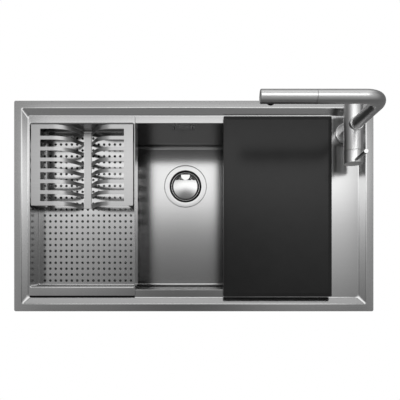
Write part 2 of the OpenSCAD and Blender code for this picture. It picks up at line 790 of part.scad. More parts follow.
module rack_wings() color(steel) rack_band(rack_l / 2 - wing_w, rack_l / 2 + 1);

// Feet under the wings, cut away outside and set forward at the back for the colander's bottom radius
module rack_feet() color(black)
    for (x = [-1, 1], y = [foot_w / 2 - rack_w / 2, rack_w / 2 - tray_r - foot_w / 2])
    translate([tray_x, rack_y + y, tray_floor + slide_gap]) rotate([90, 0, 0])
        linear_extrude(foot_w, center = true) {
            inner = rack_l / 2 - foot_l;
            polygon([
                [x * inner, 0], [x * flat_l / 2, 0], [x * rack_l / 2, tray_r / 2],
                [x * rack_l / 2, rack_drop], [x * inner, rack_drop]
            ]);
        }

module board() color(black) translate([board_x, board_y, board_z]) intersection() {
    linear_extrude(board_t) round_rect(board_l, board_w, 3);
    union() {
        linear_extrude(board_t - 1) square([board_l, board_w], center = true);
        trough(board_l, board_w, board_t - 1, board_t, -board_bevel);
    }
}

module board_pads() color(black) for (x = [-1, 1], y = [-1, 1])
    translate([board_x + x * (board_l / 2 - 30) - 15, board_y + y * (board_w / 2 - 9) - 4, board_z - pad_t])
        cube([30, 8, pad_t]);

module tap_seal() color(black) at_tap(deck_z) tube(tap_seal_t, foot_d / 2 - 1, shank_r + screw_gap);

module tap_base() color(satin) at_tap(foot_z) difference() {
    rotate_extrude() {
        square([foot_d / 2 - 1.5, foot_h]);
        square([foot_d / 2, foot_h - 1.5]);
        translate([foot_d / 2 - 1.5, foot_h - 1.5]) circle(1.5);
    }
    translate([0, 0, -1]) cylinder(h = foot_h + 2, r = shank_r + screw_gap);
}

module tap_body() color(satin) difference() {
    union() {
        at_tap(foot_z + foot_h) cylinder(h = body_z - foot_z - foot_h, r = stem_d / 2);
        along_body(tap_y + body_back - plug_t) cylinder(h = body_back - plug_t + body_front, r = body_r);
    }
    along_body(tap_y + body_back) cylinder(h = body_back + body_front + 1, r = body_bore_r);
    at_tap(foot_z + foot_h - 1) cylinder(h = 14, r = shank_r + run_gap);
    at_tap(foot_z) cylinder(h = body_z - foot_z, r = stem_bore_r);
    at_tap(body_z) cylinder(h = body_r + 1, r = collar_r + run_gap);
}

module body_plug() color(satin) along_body(tap_y + body_back) {
    cylinder(h = plug_t, r = body_r);
    cylinder(h = plug_t + 7, r = body_bore_r - run_gap);
}

// Chrome ring in the top of the body, with a running fit round the riser
module swivel_collar() color(satin) at_tap(0) difference() {
    translate([0, 0, body_z + body_r - 6]) cylinder(h = collar_top - body_z - body_r + 6, r = collar_r);
    translate([0, 0, body_z]) cylinder(h = far, r = spout_r + run_gap);
}

module swivel_bush() color(white) at_tap(body_z + 6) tube(body_r - 12, collar_r, spout_r + run_gap);

module cartridge() color(white) along_body(tap_y - body_front + cartridge_len) difference() {
    union() {
        cylinder(h = cartridge_len - 4, r = cartridge_r);
        cylinder(h = cartridge_len + neck_len, r = neck_r);
    }
    translate([0, 0, 12]) cylinder(h = far, r = spindle_r + run_gap);
}

module cartridge_ring() color("goldenrod") along_body(tap_y - body_front + 4)
    tube(4, cartridge_r, neck_r + run_gap);

module lever_cap() color(satin) difference() {
    along_body(lever_front + lever_len) difference() {
        rotate_extrude() {
            square([body_r, lever_len - 1]);
            square([body_r - 1, lever_len]);
            translate([body_r - 1, lever_len - 1]) circle(1);
        }
        translate([0, 0, -1]) cylinder(h = lever_len - cap_face + 1, r = body_r - cap_wall);
    }
    on_pin() translate([0, 0, pin_in - 1]) cylinder(h = cap_wall + 2, r = pin_foot_r);
}

// Frame of the lever pin: origin on the body's axis, z along the pin
module on_pin() {
    translate([tap_x, pin_y, body_z]) rotate([0, -pin_lean, 0]) children();
}

module lever_pin() color(satin) on_pin() {
    translate([0, 0, pin_in]) cylinder(h = cap_wall + 1, r = pin_foot_r - run_gap);
    difference() {
        rotate_extrude() polygon([
            [0, pin_in + 1], [pin_d / 2, pin_in + 1], [pin_end_d / 2, pin_reach - 1],
            [pin_end_d / 2 - 1, pin_reach], [0, pin_reach]
        ]);
        rotate([90, 0, 0]) cylinder(h = body_d, r = body_r, center = true);
    }
}

module valve_spindle() color("goldenrod") along_body(lever_front + lever_len) {
    translate([0, 0, -spindle_in]) cylinder(h = spindle_in + lever_len - cap_face, r = spindle_r);
    translate([0, 0, lever_len - cap_face - 6]) cylinder(h = 6, r = body_r - cap_wall - run_gap);
}

module tap_plate() color(black) at_tap(under_z - plate_t) difference() {
    linear_extrude(plate_t) polygon([
        [-plate_left, -plate_front], [-plate_left / 4, -plate_front - 8], [plate_right, -plate_back],
        [plate_right + 3, plate_back / 4], [plate_right, plate_back], [-plate_left, plate_back]
    ]);
    translate([0, 0, -1]) cylinder(h = plate_t + 2, r = tap_hole_r);
}

module tap_shank() color("goldenrod") at_tap(shank_z + inlet_len + inlet_end)
    tube(foot_z + foot_h + 12 - shank_z - inlet_len - inlet_end, shank_r, stem_bore_r);

// Block below the shank with a threaded bore for each supply hose and a water way above each bore
module inlet_block() color("goldenrod") at_tap(shank_z) difference() {
    cylinder(h = inlet_len + inlet_end, r = shank_r - 0.4);
    for (x = [-1, 1]) translate([x * inlet_x, 0, -1]) cylinder(h = inlet_len + 1, r = inlet_r);
    for (x = [-1, 1]) translate([x * inlet_x, 0, 0]) cylinder(h = inlet_len + inlet_end + 1, r = 2);
}

module tap_washer() color(steel) at_tap(under_z - plate_t - washer_t)
    tube(washer_t, nut_r + 1, shank_r + screw_gap);

module tap_nut() color("goldenrod") at_tap(under_z - plate_t - washer_t - nut_h) difference() {
    cylinder(h = nut_h, r = nut_r, $fn = 6);
    translate([0, 0, -1]) cylinder(h = nut_h + 2, r = shank_r + run_gap);
}

module spout_tube() color(satin) {
    at_tap(riser_low) tube(spout_z - bend_r - riser_low, spout_r, spout_in_r);
    translate([tap_x - bend_r, tap_y, spout_z - bend_r]) rotate([90, 0, 0])
        rotate_extrude(angle = 90) translate([bend_r, 0]) difference() {
            circle(spout_r);
            circle(spout_in_r);
        }
    translate([head_right + seam, tap_y, spout_z]) rotate([0, 90, 0])
        tube(tap_x - bend_r - head_right - seam, spout_r, spout_in_r);
}

module spray_head() color(satin) translate([head_left, tap_y, spout_z]) difference() {
    rotate([0, 90, 0]) rotate_extrude() {
        difference() {
            union() {
                translate([0, 1]) square([spout_r, head_len - 1]);
                square([spout_r - 1, head_len]);
                translate([spout_r - 1, 1]) circle(1);
            }
            translate([0, head_t]) square([spout_r - head_t, head_len]);
            translate([-spout_r, -1]) square([spout_r, head_len + 2]);
        }
    }
    translate([aerator_in, 0, -far]) cylinder(h = far, r = aerator_r + run_gap);
}

// Plug between the head and the hose, which docks in the spout's mouth
module head_nipple() color(black) translate([head_right, tap_y, spout_z]) rotate([0, 90, 0]) difference() {
    union() {
        translate([0, 0, -12]) cylinder(h = 12, r = spout_r - head_t - run_gap);
        cylinder(h = neck_plug_len, r = spout_in_r - slide_gap);
    }
    translate([0, 0, -far / 2]) cylinder(h = far, r = stub_r + run_gap);
}

module hose_stub() color("gray") translate([head_right - 12, tap_y, spout_z]) rotate([0, 90, 0])
    tube(stub_end - head_right + 12, stub_r, stub_r - 2);

module aerator() color(black) translate([aerator_x, tap_y, spout_z - spout_r]) difference() {
    rotate_extrude() polygon([
        [0, -aerator_drop], [aerator_r - 2, -aerator_drop], [aerator_r, -aerator_drop + 5],
        [aerator_r, 7], [0, 7]
    ]);
    translate([0, 0, -aerator_drop - 1]) cylinder(h = far, r = aerator_r - 3.5);
}

module aerator_screen() color(steel)
    translate([aerator_x, tap_y, spout_z - spout_r - aerator_drop + 1.5]) difference() {
        cylinder(h = 1.5, r = aerator_r - 3.5 - run_gap);
        for (a = [0 : 45 : 315]) rotate([0, 0, a]) translate([3.8, 0, -1]) cylinder(h = 4, r = 0.9);
    }

basin();
rim_seal();
fixing_rails();
fixing_clips();
clip_screws();
sound_pads();
waste_flange();
waste_gasket();
waste_body();
body_gasket();
waste_screw();
overflow_cover();
overflow_housing();
overflow_seal();
overflow_pipe();
strainer_basket();
strainer_cap();
strainer_seal();
colander_tray();
perforated_floor();
tray_glides();
rack_bar();
rack_tines();
rack_wings();
rack_feet();
board();
board_pads();
tap_seal();
tap_base();
tap_body();
body_plug();
swivel_collar();
swivel_bush();
cartridge();
cartridge_ring();
tap_plate();
tap_shank();
inlet_block();
tap_washer();
tap_nut();
spout_tube();
spray_head();
head_nipple();
hose_stub();
aerator();
aerator_screen();
lever_cap();
lever_pin();
valve_spindle();
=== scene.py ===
import json
import math

import bmesh
import bpy
from bpy.props import FloatProperty, PointerProperty
from mathutils import Matrix, Vector


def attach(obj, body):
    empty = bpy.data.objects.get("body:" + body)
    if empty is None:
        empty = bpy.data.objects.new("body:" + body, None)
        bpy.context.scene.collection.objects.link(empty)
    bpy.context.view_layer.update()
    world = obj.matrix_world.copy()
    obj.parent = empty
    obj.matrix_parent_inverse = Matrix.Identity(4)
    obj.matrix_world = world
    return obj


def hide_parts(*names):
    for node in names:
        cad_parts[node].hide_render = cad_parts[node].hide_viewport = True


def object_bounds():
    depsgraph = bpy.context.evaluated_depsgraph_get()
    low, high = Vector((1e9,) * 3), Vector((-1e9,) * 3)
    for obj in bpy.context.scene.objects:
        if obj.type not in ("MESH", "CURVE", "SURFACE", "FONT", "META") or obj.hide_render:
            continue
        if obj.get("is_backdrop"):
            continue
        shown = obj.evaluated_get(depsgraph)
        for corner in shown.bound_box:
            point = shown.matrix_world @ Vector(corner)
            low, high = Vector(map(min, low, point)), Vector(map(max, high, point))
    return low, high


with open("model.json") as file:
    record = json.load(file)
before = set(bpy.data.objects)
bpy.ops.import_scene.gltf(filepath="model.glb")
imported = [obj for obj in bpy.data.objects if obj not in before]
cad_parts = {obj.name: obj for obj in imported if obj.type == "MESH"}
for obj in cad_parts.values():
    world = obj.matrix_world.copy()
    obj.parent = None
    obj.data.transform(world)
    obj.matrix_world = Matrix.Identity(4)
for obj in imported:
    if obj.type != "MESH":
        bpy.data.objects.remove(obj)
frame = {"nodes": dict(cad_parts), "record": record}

bl_info = {
    "name": "Single Bowl Kitchen Sink",
    "version": (1, 0, 0),
    "blender": (4, 5, 0),
    "location": "3D View > Sidebar > Sink",
    "description": "Builds the pieces, finishes and studio of an inset kitchen sink",
    "category": "Object",
}

MM = 0.001

# Sizes that several pieces share, in millimetres
OVERFLOW_Z = -37.4
OUTLET_X = 153.5
RACK_DEPTH = 52.7
RACK_REACH = 124.0


# Meshes

def new_object(name, verts, faces, matrix=None):
    """A mesh object at the origin from points in millimetres, outward facing."""
    mesh = bpy.data.meshes.new(name)
    mesh.from_pydata([Vector(v) * MM for v in verts], [], faces)
    bm = bmesh.new()
    bm.from_mesh(mesh)
    bmesh.ops.remove_doubles(bm, verts=bm.verts, dist=1e-6)
    bmesh.ops.recalc_face_normals(bm, faces=bm.faces)
    bm.to_mesh(mesh)
    bm.free()
    if matrix is not None:
        mesh.transform(matrix)
    obj = bpy.data.objects.new(name, mesh)
    bpy.context.scene.collection.objects.link(obj)
    return obj


def at(x=0.0, y=0.0, z=0.0, rx=0.0, ry=0.0, rz=0.0):
    """Placing matrix from millimetres and degrees."""
    turn = (Matrix.Rotation(math.radians(rz), 4, "Z") @ Matrix.Rotation(math.radians(ry), 4, "Y")
            @ Matrix.Rotation(math.radians(rx), 4, "X"))
    return Matrix.Translation(Vector((x, y, z)) * MM) @ turn


def rounded(hx, hy, r, cx=0.0, cy=0.0, n=8):
    """Outline of a rounded rectangle, anticlockwise, in millimetres."""
    pts = []
    for k, (sx, sy) in enumerate(((1, 1), (-1, 1), (-1, -1), (1, -1))):
        for i in range(n + 1):
            a = math.radians(90 * (k + i / n))
            pts.append((cx + sx * (hx - r) + r * math.cos(a), cy + sy * (hy - r) + r * math.sin(a)))
    return pts


def ring(hx, hy, r, z, cx=0.0, cy=0.0, n=8):
    """The same outline as points at height z."""
    return [(x, y, z) for x, y in rounded(hx, hy, r, cx, cy, n)]


def loft(name, rings, closed=False):
    """Skin over rings of equal length. The ends are capped, or the last ring meets the first."""
    n = len(rings[0])
    verts = [p for points in rings for p in points]
    faces = []
    for j in range(len(rings) if closed else len(rings) - 1):
        a, b = j * n, ((j + 1) % len(rings)) * n
        faces += [(a + i, a + (i + 1) % n, b + (i + 1) % n, b + i) for i in range(n)]
    if not closed:
        faces += [tuple(range(n)), tuple((len(rings) - 1) * n + i for i in range(n))]
    return new_object(name, verts, faces)


def lathe(name, profile, matrix=None, steps=96):
    """A closed profile of (radius, height) turned about Z."""
    verts, faces, starts = [], [], []
    for r, z in profile:
        starts.append((len(verts), r == 0))
        verts += [(0, 0, z)] if r == 0 else [
            (r * math.cos(2 * math.pi * k / steps), r * math.sin(2 * math.pi * k / steps), z) for k in range(steps)]
    for j in range(len(profile)):
        (a, a_pole), (b, b_pole) = starts[j], starts[(j + 1) % len(profile)]
        if a_pole and b_pole:
            continue
        for i in range(steps):
            k = (i + 1) % steps
            if a_pole:
                faces.append((a, b + k, b + i))
            elif b_pole:
                faces.append((a + i, a + k, b))
            else:
                faces.append((a + i, a + k, b + k, b + i))
    return new_object(name, verts, faces, matrix)


def rod(name, r, z0, z1, matrix=None, steps=96):
    """A plain round bar from z0 to z1, for bores and holes."""
    return lathe(name, [(0, z0), (r, z0), (r, z1), (0, z1)], matrix, steps)


def prism(name, outline, z0, z1, matrix=None):
    """A flat outline raised from z0 to z1."""
    n = len(outline)
    verts = [(x, y, z0) for x, y in outline] + [(x, y, z1) for x, y in outline]
    faces = [tuple(reversed(range(n))), tuple(range(n, 2 * n))]
    faces += [(i, (i + 1) % n, n + (i + 1) % n, n + i) for i in range(n)]
    return new_object(name, verts, faces, matrix)


def arc(cx, cy, r, a0, a1, n):
    """Points on an arc, angles in degrees."""
    step = math.radians(a1 - a0) / n
    return [(cx + r * math.cos(math.radians(a0) + step * i), cy + r * math.sin(math.radians(a0) + step * i))
            for i in range(n + 1)]


def fan(angle, n):
    """Angles from 0 to angle in n steps, from degrees to radians."""
    return [math.radians(angle * k / n) for k in range(n + 1)]


def bake(obj):
    """Replaces the object's mesh by what its modifiers make of it."""
    graph = bpy.context.evaluated_depsgraph_get()
    mesh = bpy.data.meshes.new_from_object(obj.evaluated_get(graph), depsgraph=graph)
    obj.modifiers.clear()
    old = obj.data
    obj.data = mesh
    mesh.name = obj.name
    bpy.data.meshes.remove(old)
    return obj


def combine(obj, other, operation):
    """Boolean of obj with other, which is used up."""
    mod = obj.modifiers.new("Boolean", "BOOLEAN")
    mod.operation = operation
    mod.solver = "EXACT"
    mod.object = other
    bake(obj)
    drop(other)
    return obj


def cut(obj, *others):
    """Takes the other objects out of obj."""
    for other in others:
        combine(obj, other, "DIFFERENCE")
    return obj


def add(obj, *others):
    """Fuses the other objects to obj."""
    for other in others:
        combine(obj, other, "UNION")
    return obj


def drop(obj):
    """Removes an object with its mesh."""
    mesh = obj.data
    bpy.data.objects.remove(obj)
    bpy.data.meshes.remove(mesh)


def join(name, objects):
    """One object from several separate solids."""
    bm = bmesh.new()
    for o in objects:
        bm.from_mesh(o.data)
    mesh = bpy.data.meshes.new(name)
    bm.to_mesh(mesh)
    bm.free()
    for o in objects:
        drop(o)
    obj = bpy.data.objects.new(name, mesh)
    bpy.context.scene.collection.objects.link(obj)
    return obj


def dress(obj, body, nodes, material, bevel=0.0, segments=3, angle=35.0):
    """Bevels and shades a finished piece, gives it its finish, ties it to its body and hides its CAD nodes."""
    if bevel:
        mod = obj.modifiers.new("Bevel", "BEVEL")
        mod.width = bevel * MM
        mod.segments = segments
        mod.limit_method = "ANGLE"
        mod.angle_limit = math.radians(angle)
        bake(obj)
    for poly in obj.data.polygons:
        poly.use_smooth = True
    obj.data.set_sharp_from_angle(angle=math.radians(angle))
    mod = obj.modifiers.new("Weighted Normal", "WEIGHTED_NORMAL")
    mod.keep_sharp = True
    bake(obj)
    obj.data.materials.clear()
    obj.data.materials.append(material)
    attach(obj, body)
    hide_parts(*nodes)
    return obj


# Geometry node groups for repeats

def link(tree, a, b):
    """Joins an output socket to an input socket."""
    tree.links.new(a, b)


def cut_group(name, around):
    """Node group that cuts copies of an object out of the geometry, on a grid or around a circle."""
    tree = bpy.data.node_groups.get(name)
    if tree:
        return tree
    tree = bpy.data.node_groups.new(name, "GeometryNodeTree")
    sizes = [("Count", "Int"), ("Radius", "Float")] if around else [
        ("Count X", "Int"), ("Count Y", "Int"), ("Step X", "Float"), ("Step Y", "Float")]
    for label, kind in [("Geometry", "Geometry"), ("Cutter", "Object"), *sizes, ("Centre", "Vector"),
                        ("Material", "Material")]:
        tree.interface.new_socket(label, in_out="INPUT", socket_type="NodeSocket" + kind)
    tree.interface.new_socket("Geometry", in_out="OUTPUT", socket_type="NodeSocketGeometry")
    nodes = tree.nodes
    given = nodes.new("NodeGroupInput")
    out = nodes.new("NodeGroupOutput")
    info = nodes.new("GeometryNodeObjectInfo")
    place = nodes.new("GeometryNodeInstanceOnPoints")
    real = nodes.new("GeometryNodeRealizeInstances")
    move = nodes.new("GeometryNodeTransform")
    less = nodes.new("GeometryNodeMeshBoolean")
    less.operation = "DIFFERENCE"
    less.solver = "EXACT"
    paint = nodes.new("GeometryNodeSetMaterial")
    link(tree, given.outputs["Cutter"], info.inputs["Object"])
    if around:
        points = nodes.new("GeometryNodeMeshCircle")
        link(tree, given.outputs["Count"], points.inputs["Vertices"])
        link(tree, given.outputs["Radius"], points.inputs["Radius"])
        where = nodes.new("GeometryNodeInputPosition")
        outward = nodes.new("FunctionNodeAlignEulerToVector")
        outward.axis = "X"
        link(tree, where.outputs["Position"], outward.inputs["Vector"])
        link(tree, outward.outputs["Rotation"], place.inputs["Rotation"])
    else:
        points = nodes.new("GeometryNodeMeshGrid")
        for axis in "XY":
            less_one = nodes.new("ShaderNodeMath")
            less_one.operation = "SUBTRACT"
            less_one.inputs[1].default_value = 1.0
            span = nodes.new("ShaderNodeMath")
            span.operation = "MULTIPLY"
            link(tree, given.outputs["Count " + axis], less_one.inputs[0])
            link(tree, less_one.outputs[0], span.inputs[0])
            link(tree, given.outputs["Step " + axis], span.inputs[1])
            link(tree, span.outputs[0], points.inputs["Size " + axis])
            link(tree, given.outputs["Count " + axis], points.inputs["Vertices " + axis])
    link(tree, points.outputs["Mesh"], place.inputs["Points"])
    link(tree, info.outputs["Geometry"], place.inputs["Instance"])
    link(tree, place.outputs["Instances"], real.inputs["Geometry"])
    link(tree, real.outputs["Geometry"], move.inputs["Geometry"])
    link(tree, given.outputs["Centre"], move.inputs["Translation"])
    link(tree, given.outputs["Geometry"], less.inputs[0])
    link(tree, move.outputs["Geometry"], less.inputs[1])
    link(tree, less.outputs["Mesh"], paint.inputs["Geometry"])
    link(tree, given.outputs["Material"], paint.inputs["Material"])
    link(tree, paint.outputs["Geometry"], out.inputs["Geometry"])
    return tree


def repeat_cut(obj, group, cutter, material, centre, **values):
    """Runs a cutting node group on obj and keeps the result as its mesh. The centre is in millimetres."""
    mod = obj.modifiers.new("Cut", "NODES")
    mod.node_group = group
    ids = {s.name: s.identifier for s in group.interface.items_tree
           if s.item_type == "SOCKET" and s.in_out == "INPUT"}
    mod[ids["Cutter"]] = cutter
    mod[ids["Material"]] = material
    mod[ids["Centre"]] = [c * MM for c in centre]
    for key, value in values.items():
        mod[ids[key.replace("_", " ")]] = value
    bake(obj)
    drop(cutter)
    return obj


# Finishes

def empty_tree(block):
    """The cleared node tree of a material or a world."""
    block.use_nodes = True
    block.node_tree.nodes.clear()
    return block.node_tree


def node(tree, kind, **inputs):
    """A shader node with some of its inputs set."""
    made = tree.nodes.new("ShaderNode" + kind)
    for key, value in inputs.items():
        made.inputs[key.replace("_", " ")].default_value = value
    return made


def grey(v):
    """A neutral colour."""
    return (v, v, v)


def blend(tree, kind, factor, a, b):
    """Colour mix node of two colours, and its result."""
    mix = node(tree, "Mix")
    mix.data_type = "RGBA"
    mix.blend_type = kind
    for value, socket in ((factor, mix.inputs[0]), (a, mix.inputs[6]), (b, mix.inputs[7])):
        if isinstance(value, bpy.types.NodeSocket):
            link(tree, value, socket)
        else:
            socket.default_value = value
    return mix.outputs[2]


def ramp(tree, value, *stops):
    """Colour ramp node on a value, from pairs of place and colour."""
    made = node(tree, "ValToRGB")
    points = made.color_ramp.elements
    points[0].position, points[1].position = stops[0][0], stops[-1][0]
    points[0].color, points[-1].color = (*stops[0][1], 1), (*stops[-1][1], 1)
    for place, colour in stops[1:-1]:
        points.new(place).color = (*colour, 1)
    link(tree, value, made.inputs["Fac"])
    return made.outputs["Color"]


def grey_ramp(tree, value, *stops):
    """The same from pairs of place and grey."""
    return ramp(tree, value, *[(place, grey(level)) for place, level in stops])


def shader_group(name, inputs, outputs):
    """An empty shader node group with named sockets, and its two end nodes."""
    tree = bpy.data.node_groups.new(name, "ShaderNodeTree")
    for label, kind, value in inputs:
        socket = tree.interface.new_socket(label, in_out="INPUT", socket_type=kind)
        if value is not None:
            socket.default_value = value
    for label, kind in outputs:
        tree.interface.new_socket(label, in_out="OUTPUT", socket_type=kind)
    return tree, tree.nodes.new("NodeGroupInput"), tree.nodes.new("NodeGroupOutput")


def streak_group():
    """Fine lines along one direction: a value around 0.5 and a bumped normal."""
    found = bpy.data.node_groups.get("Brushed Lines")
    if found:
        return found
    tree, given, out = shader_group(
        "Brushed Lines",
        [("Stretch", "NodeSocketVector", (12.0, 900.0, 900.0)), ("Bump", "NodeSocketFloat", 0.05)],
        [("Value", "NodeSocketFloat"), ("Normal", "NodeSocketVector")])
    coord = node(tree, "TexCoord")
    scale = node(tree, "VectorMath")
    scale.operation = "MULTIPLY"
    noise = node(tree, "TexNoise", Scale=1.0, Detail=3.0, Roughness=0.6)
    bump = node(tree, "Bump", Distance=0.0002)
    link(tree, coord.outputs["Object"], scale.inputs[0])
    link(tree, given.outputs["Stretch"], scale.inputs[1])
    link(tree, scale.outputs["Vector"], noise.inputs["Vector"])
    link(tree, noise.outputs["Fac"], bump.inputs["Height"])
    link(tree, given.outputs["Bump"], bump.inputs["Strength"])
    link(tree, noise.outputs["Fac"], out.inputs["Value"])
    link(tree, bump.outputs["Normal"], out.inputs["Normal"])
    return tree


def mottle_group():
    """Soft blotches and a fine grain: a value around 0.5 and a bumped normal."""
    found = bpy.data.node_groups.get("Soft Mottle")
    if found:
        return found
    tree, given, out = shader_group(
        "Soft Mottle",
        [("Size", "NodeSocketFloat", 40.0), ("Grain", "NodeSocketFloat", 900.0), ("Bump", "NodeSocketFloat", 0.1)],
        [("Value", "NodeSocketFloat"), ("Normal", "NodeSocketVector")])
    coord = node(tree, "TexCoord")
    broad = node(tree, "TexNoise", Detail=4.0)
    fine = node(tree, "TexNoise", Detail=2.0)
    mix = node(tree, "Mix")
    mix.data_type = "FLOAT"
    mix.inputs[0].default_value = 0.35
    bump = node(tree, "Bump", Distance=0.0003)
    link(tree, coord.outputs["Object"], broad.inputs["Vector"])
    link(tree, coord.outputs["Object"], fine.inputs["Vector"])
    link(tree, given.outputs["Size"], broad.inputs["Scale"])
    link(tree, given.outputs["Grain"], fine.inputs["Scale"])
    link(tree, broad.outputs["Fac"], mix.inputs[2])
    link(tree, fine.outputs["Fac"], mix.inputs[3])
    link(tree, fine.outputs["Fac"], bump.inputs["Height"])
    link(tree, given.outputs["Bump"], bump.inputs["Strength"])
    link(tree, mix.outputs[0], out.inputs["Value"])
    link(tree, bump.outputs["Normal"], out.inputs["Normal"])
    return tree


def underside_shade_group():
    """1 on faces that look down, 0 elsewhere: the mask for painted shade on undersides."""
    found = bpy.data.node_groups.get("Underside")
    if found:
        return found
    tree, _, out = shader_group("Underside", [], [("Mask", "NodeSocketFloat")])
    shape = node(tree, "NewGeometry")
    parts = node(tree, "SeparateXYZ")
    down = node(tree, "Math")
    down.operation = "LESS_THAN"
    down.inputs[1].default_value = -0.5
    link(tree, shape.outputs["True Normal"], parts.inputs[0])
    link(tree, parts.outputs["Z"], down.inputs[0])
    link(tree, down.outputs[0], out.inputs["Mask"])
    return tree


def finish_material(group, name, settings, dark, light, rough, metallic=0.0, under=None, **shader):
    """A Principled material whose colour and roughness follow one of the value groups.

    With under, faces that look down have that grey, painted shade that stands in for the dark under a piece."""
    found = bpy.data.materials.get(name)
    if found:
        return found
    mat = bpy.data.materials.new(name)
    tree = empty_tree(mat)
    out = node(tree, "OutputMaterial")
    bsdf = node(tree, "BsdfPrincipled", Metallic=metallic, **shader)
    source = node(tree, "Group")
    source.node_tree = group
    for key, value in settings.items():
        source.inputs[key].default_value = value
    colour = ramp(tree, source.outputs["Value"], (0.25, dark), (0.75, light))
    spread = node(tree, "MapRange", To_Min=rough[0], To_Max=rough[1])
    link(tree, source.outputs["Value"], spread.inputs["Value"])
    # Painted shade: faces that look down take the flat grey under in place of their finish colour.
    if under is not None:
        shade_mask = node(tree, "Group")
        shade_mask.node_tree = underside_shade_group()
        colour = blend(tree, "MIX", shade_mask.outputs["Mask"], colour, (*grey(under), 1))
    link(tree, colour, bsdf.inputs["Base Color"])
    link(tree, spread.outputs["Result"], bsdf.inputs["Roughness"])
    link(tree, source.outputs["Normal"], bsdf.inputs["Normal"])
    link(tree, bsdf.outputs["BSDF"], out.inputs["Surface"])
    return mat


def brushed(name, stretch, bump, *finish, **shader):
    """A finish with fine lines, given by their stretch."""
    return finish_material(streak_group(), name, {"Stretch": stretch, "Bump": bump}, *finish, **shader)


def mottled(name, size, grain, bump, *finish, **shader):
    """A finish with soft blotches, given by their density and that of the grain."""
    return finish_material(mottle_group(), name, {"Size": size, "Grain": grain, "Bump": bump}, *finish, **shader)


def finishes():
    """All finishes by name: lines or blotches, dark and light colour, range of roughness."""
    look = bpy.context.scene.sink_look
    s, r = look.steel_grey, look.steel_roughness
    c, gloss = look.chrome_grey, look.chrome_roughness
    b = look.board_grey
    return {
        "stainless": brushed("Stainless Steel", (9.0, 900.0, 900.0), 0.008,
                             grey(s * 0.97), grey(s * 1.03), (r * 0.95, r * 1.08), metallic=1.0),
        # The colander's faces that look down are painted almost black (under=0.01), painted shade that makes its holes
        # look dark.
        "tray_steel": brushed("Colander Steel", (900.0, 9.0, 900.0), 0.008,
                              grey(s * 0.97), grey(s * 1.03), (r * 0.95, r * 1.08), metallic=1.0, under=0.01),
        "rack_steel": brushed("Rack Steel", (9.0, 800.0, 800.0), 0.006,
                              grey(s * 0.97), grey(s * 1.05), (r * 1.7, r * 1.9), metallic=1.0),
        "polished_steel": mottled("Polished Steel", 60.0, 1200.0, 0.02,
                                  grey(s * 1.05), grey(s * 1.12), (0.1, 0.16), metallic=1.0),
        "chrome": mottled("Chrome", 30.0, 800.0, 0.004,
                          grey(c * 0.98), grey(c * 1.02), (gloss, gloss * 1.5), metallic=1.0),
        "zinc_steel": mottled("Zinc Plated Steel", 90.0, 900.0, 0.06,
                              (0.5, 0.51, 0.53), (0.64, 0.65, 0.66), (0.3, 0.42), metallic=1.0),
        "brass": mottled("Brass", 70.0, 700.0, 0.05,
                         (0.66, 0.45, 0.2), (0.78, 0.57, 0.29), (0.22, 0.34), metallic=1.0),
        "board_black": mottled("Board", 26.0, 1500.0, 0.03,
                               grey(b * 0.85), grey(b * 1.15), (0.2, 0.26), Specular_IOR_Level=0.24),
        "black_plastic": mottled("Black Plastic", 80.0, 1600.0, 0.08, grey(0.012), grey(0.02), (0.38, 0.48)),
        # Near-black finish, darker than the black plastic, so that the front glide reads as the shadow gap under the
        # colander flange: painted shadow. The aerator wears it as its black.
        "glide_black": mottled("Glide Strip", 80.0, 1600.0, 0.05,
                               grey(0.003), grey(0.005), (0.5, 0.6), Specular_IOR_Level=0.1),
        "rubber": mottled("Rubber", 60.0, 1200.0, 0.15, grey(0.014), grey(0.024), (0.6, 0.75)),
        "sound_mat": mottled("Sound Mat", 35.0, 500.0, 0.4, (0.055, 0.055, 0.06), (0.09, 0.09, 0.1), (0.7, 0.85)),
        "white_plastic": mottled("White Plastic", 50.0, 1400.0, 0.04,
                                 (0.74, 0.74, 0.72), (0.84, 0.84, 0.82), (0.28, 0.36)),
        "grey_hose": brushed("Woven Hose", (900.0, 200.0, 200.0), 0.4,
                             (0.14, 0.14, 0.15), (0.34, 0.34, 0.35), (0.45, 0.6)),
    }


# Settings

class SinkSizes(bpy.types.PropertyGroup):
    """Sizes of the sheet steel pieces, in millimetres."""
    deck_l: FloatProperty(name="Deck length", description="Left to right", default=870.0)
    deck_w: FloatProperty(name="Deck width", description="Front to back", default=510.0)
    sheet: FloatProperty(name="Sheet", description="Thickness of the steel", default=1.2)
    rim_w: FloatProperty(name="Rim", description="Width of the flat rim", default=18.0)
    slope_w: FloatProperty(name="Step", description="Width of the sloped step", default=15.0)
    rim_h: FloatProperty(name="Rim height", description="Above the worktop", default=2.6)
    deck_z: FloatProperty(name="Deck level", description="Below the worktop", default=-5.4)
    bowl_x: FloatProperty(name="Bowl middle", description="Along X", default=-47.0)
    bowl_l: FloatProperty(name="Bowl length", description="Left to right", default=710.0)
    bowl_w: FloatProperty(name="Bowl width", description="Front to back", default=405.0)
    floor_z: FloatProperty(name="Bowl floor", description="Level of the floor", default=-197.4)
    bowl_r: FloatProperty(name="Bowl radius", description="Corners and bottom edges", default=10.0)
    drain_x: FloatProperty(name="Drain X", description="Axis of the drain", default=-27.0)
    drain_y: FloatProperty(name="Drain Y", description="Axis of the drain", default=87.0)
    seat_z: FloatProperty(name="Drain seat", description="Level of the pressed seat", default=-200.4)
    tray_x: FloatProperty(name="Colander X", description="Middle of the colander", default=-272.0)
    tray_y: FloatProperty(name="Colander Y", description="Middle of the colander", default=1.0)
    tray_z: FloatProperty(name="Colander top", description="Top of its flange", default=-2.7)
    tray_depth: FloatProperty(name="Colander depth", description="Inside", default=54.5)


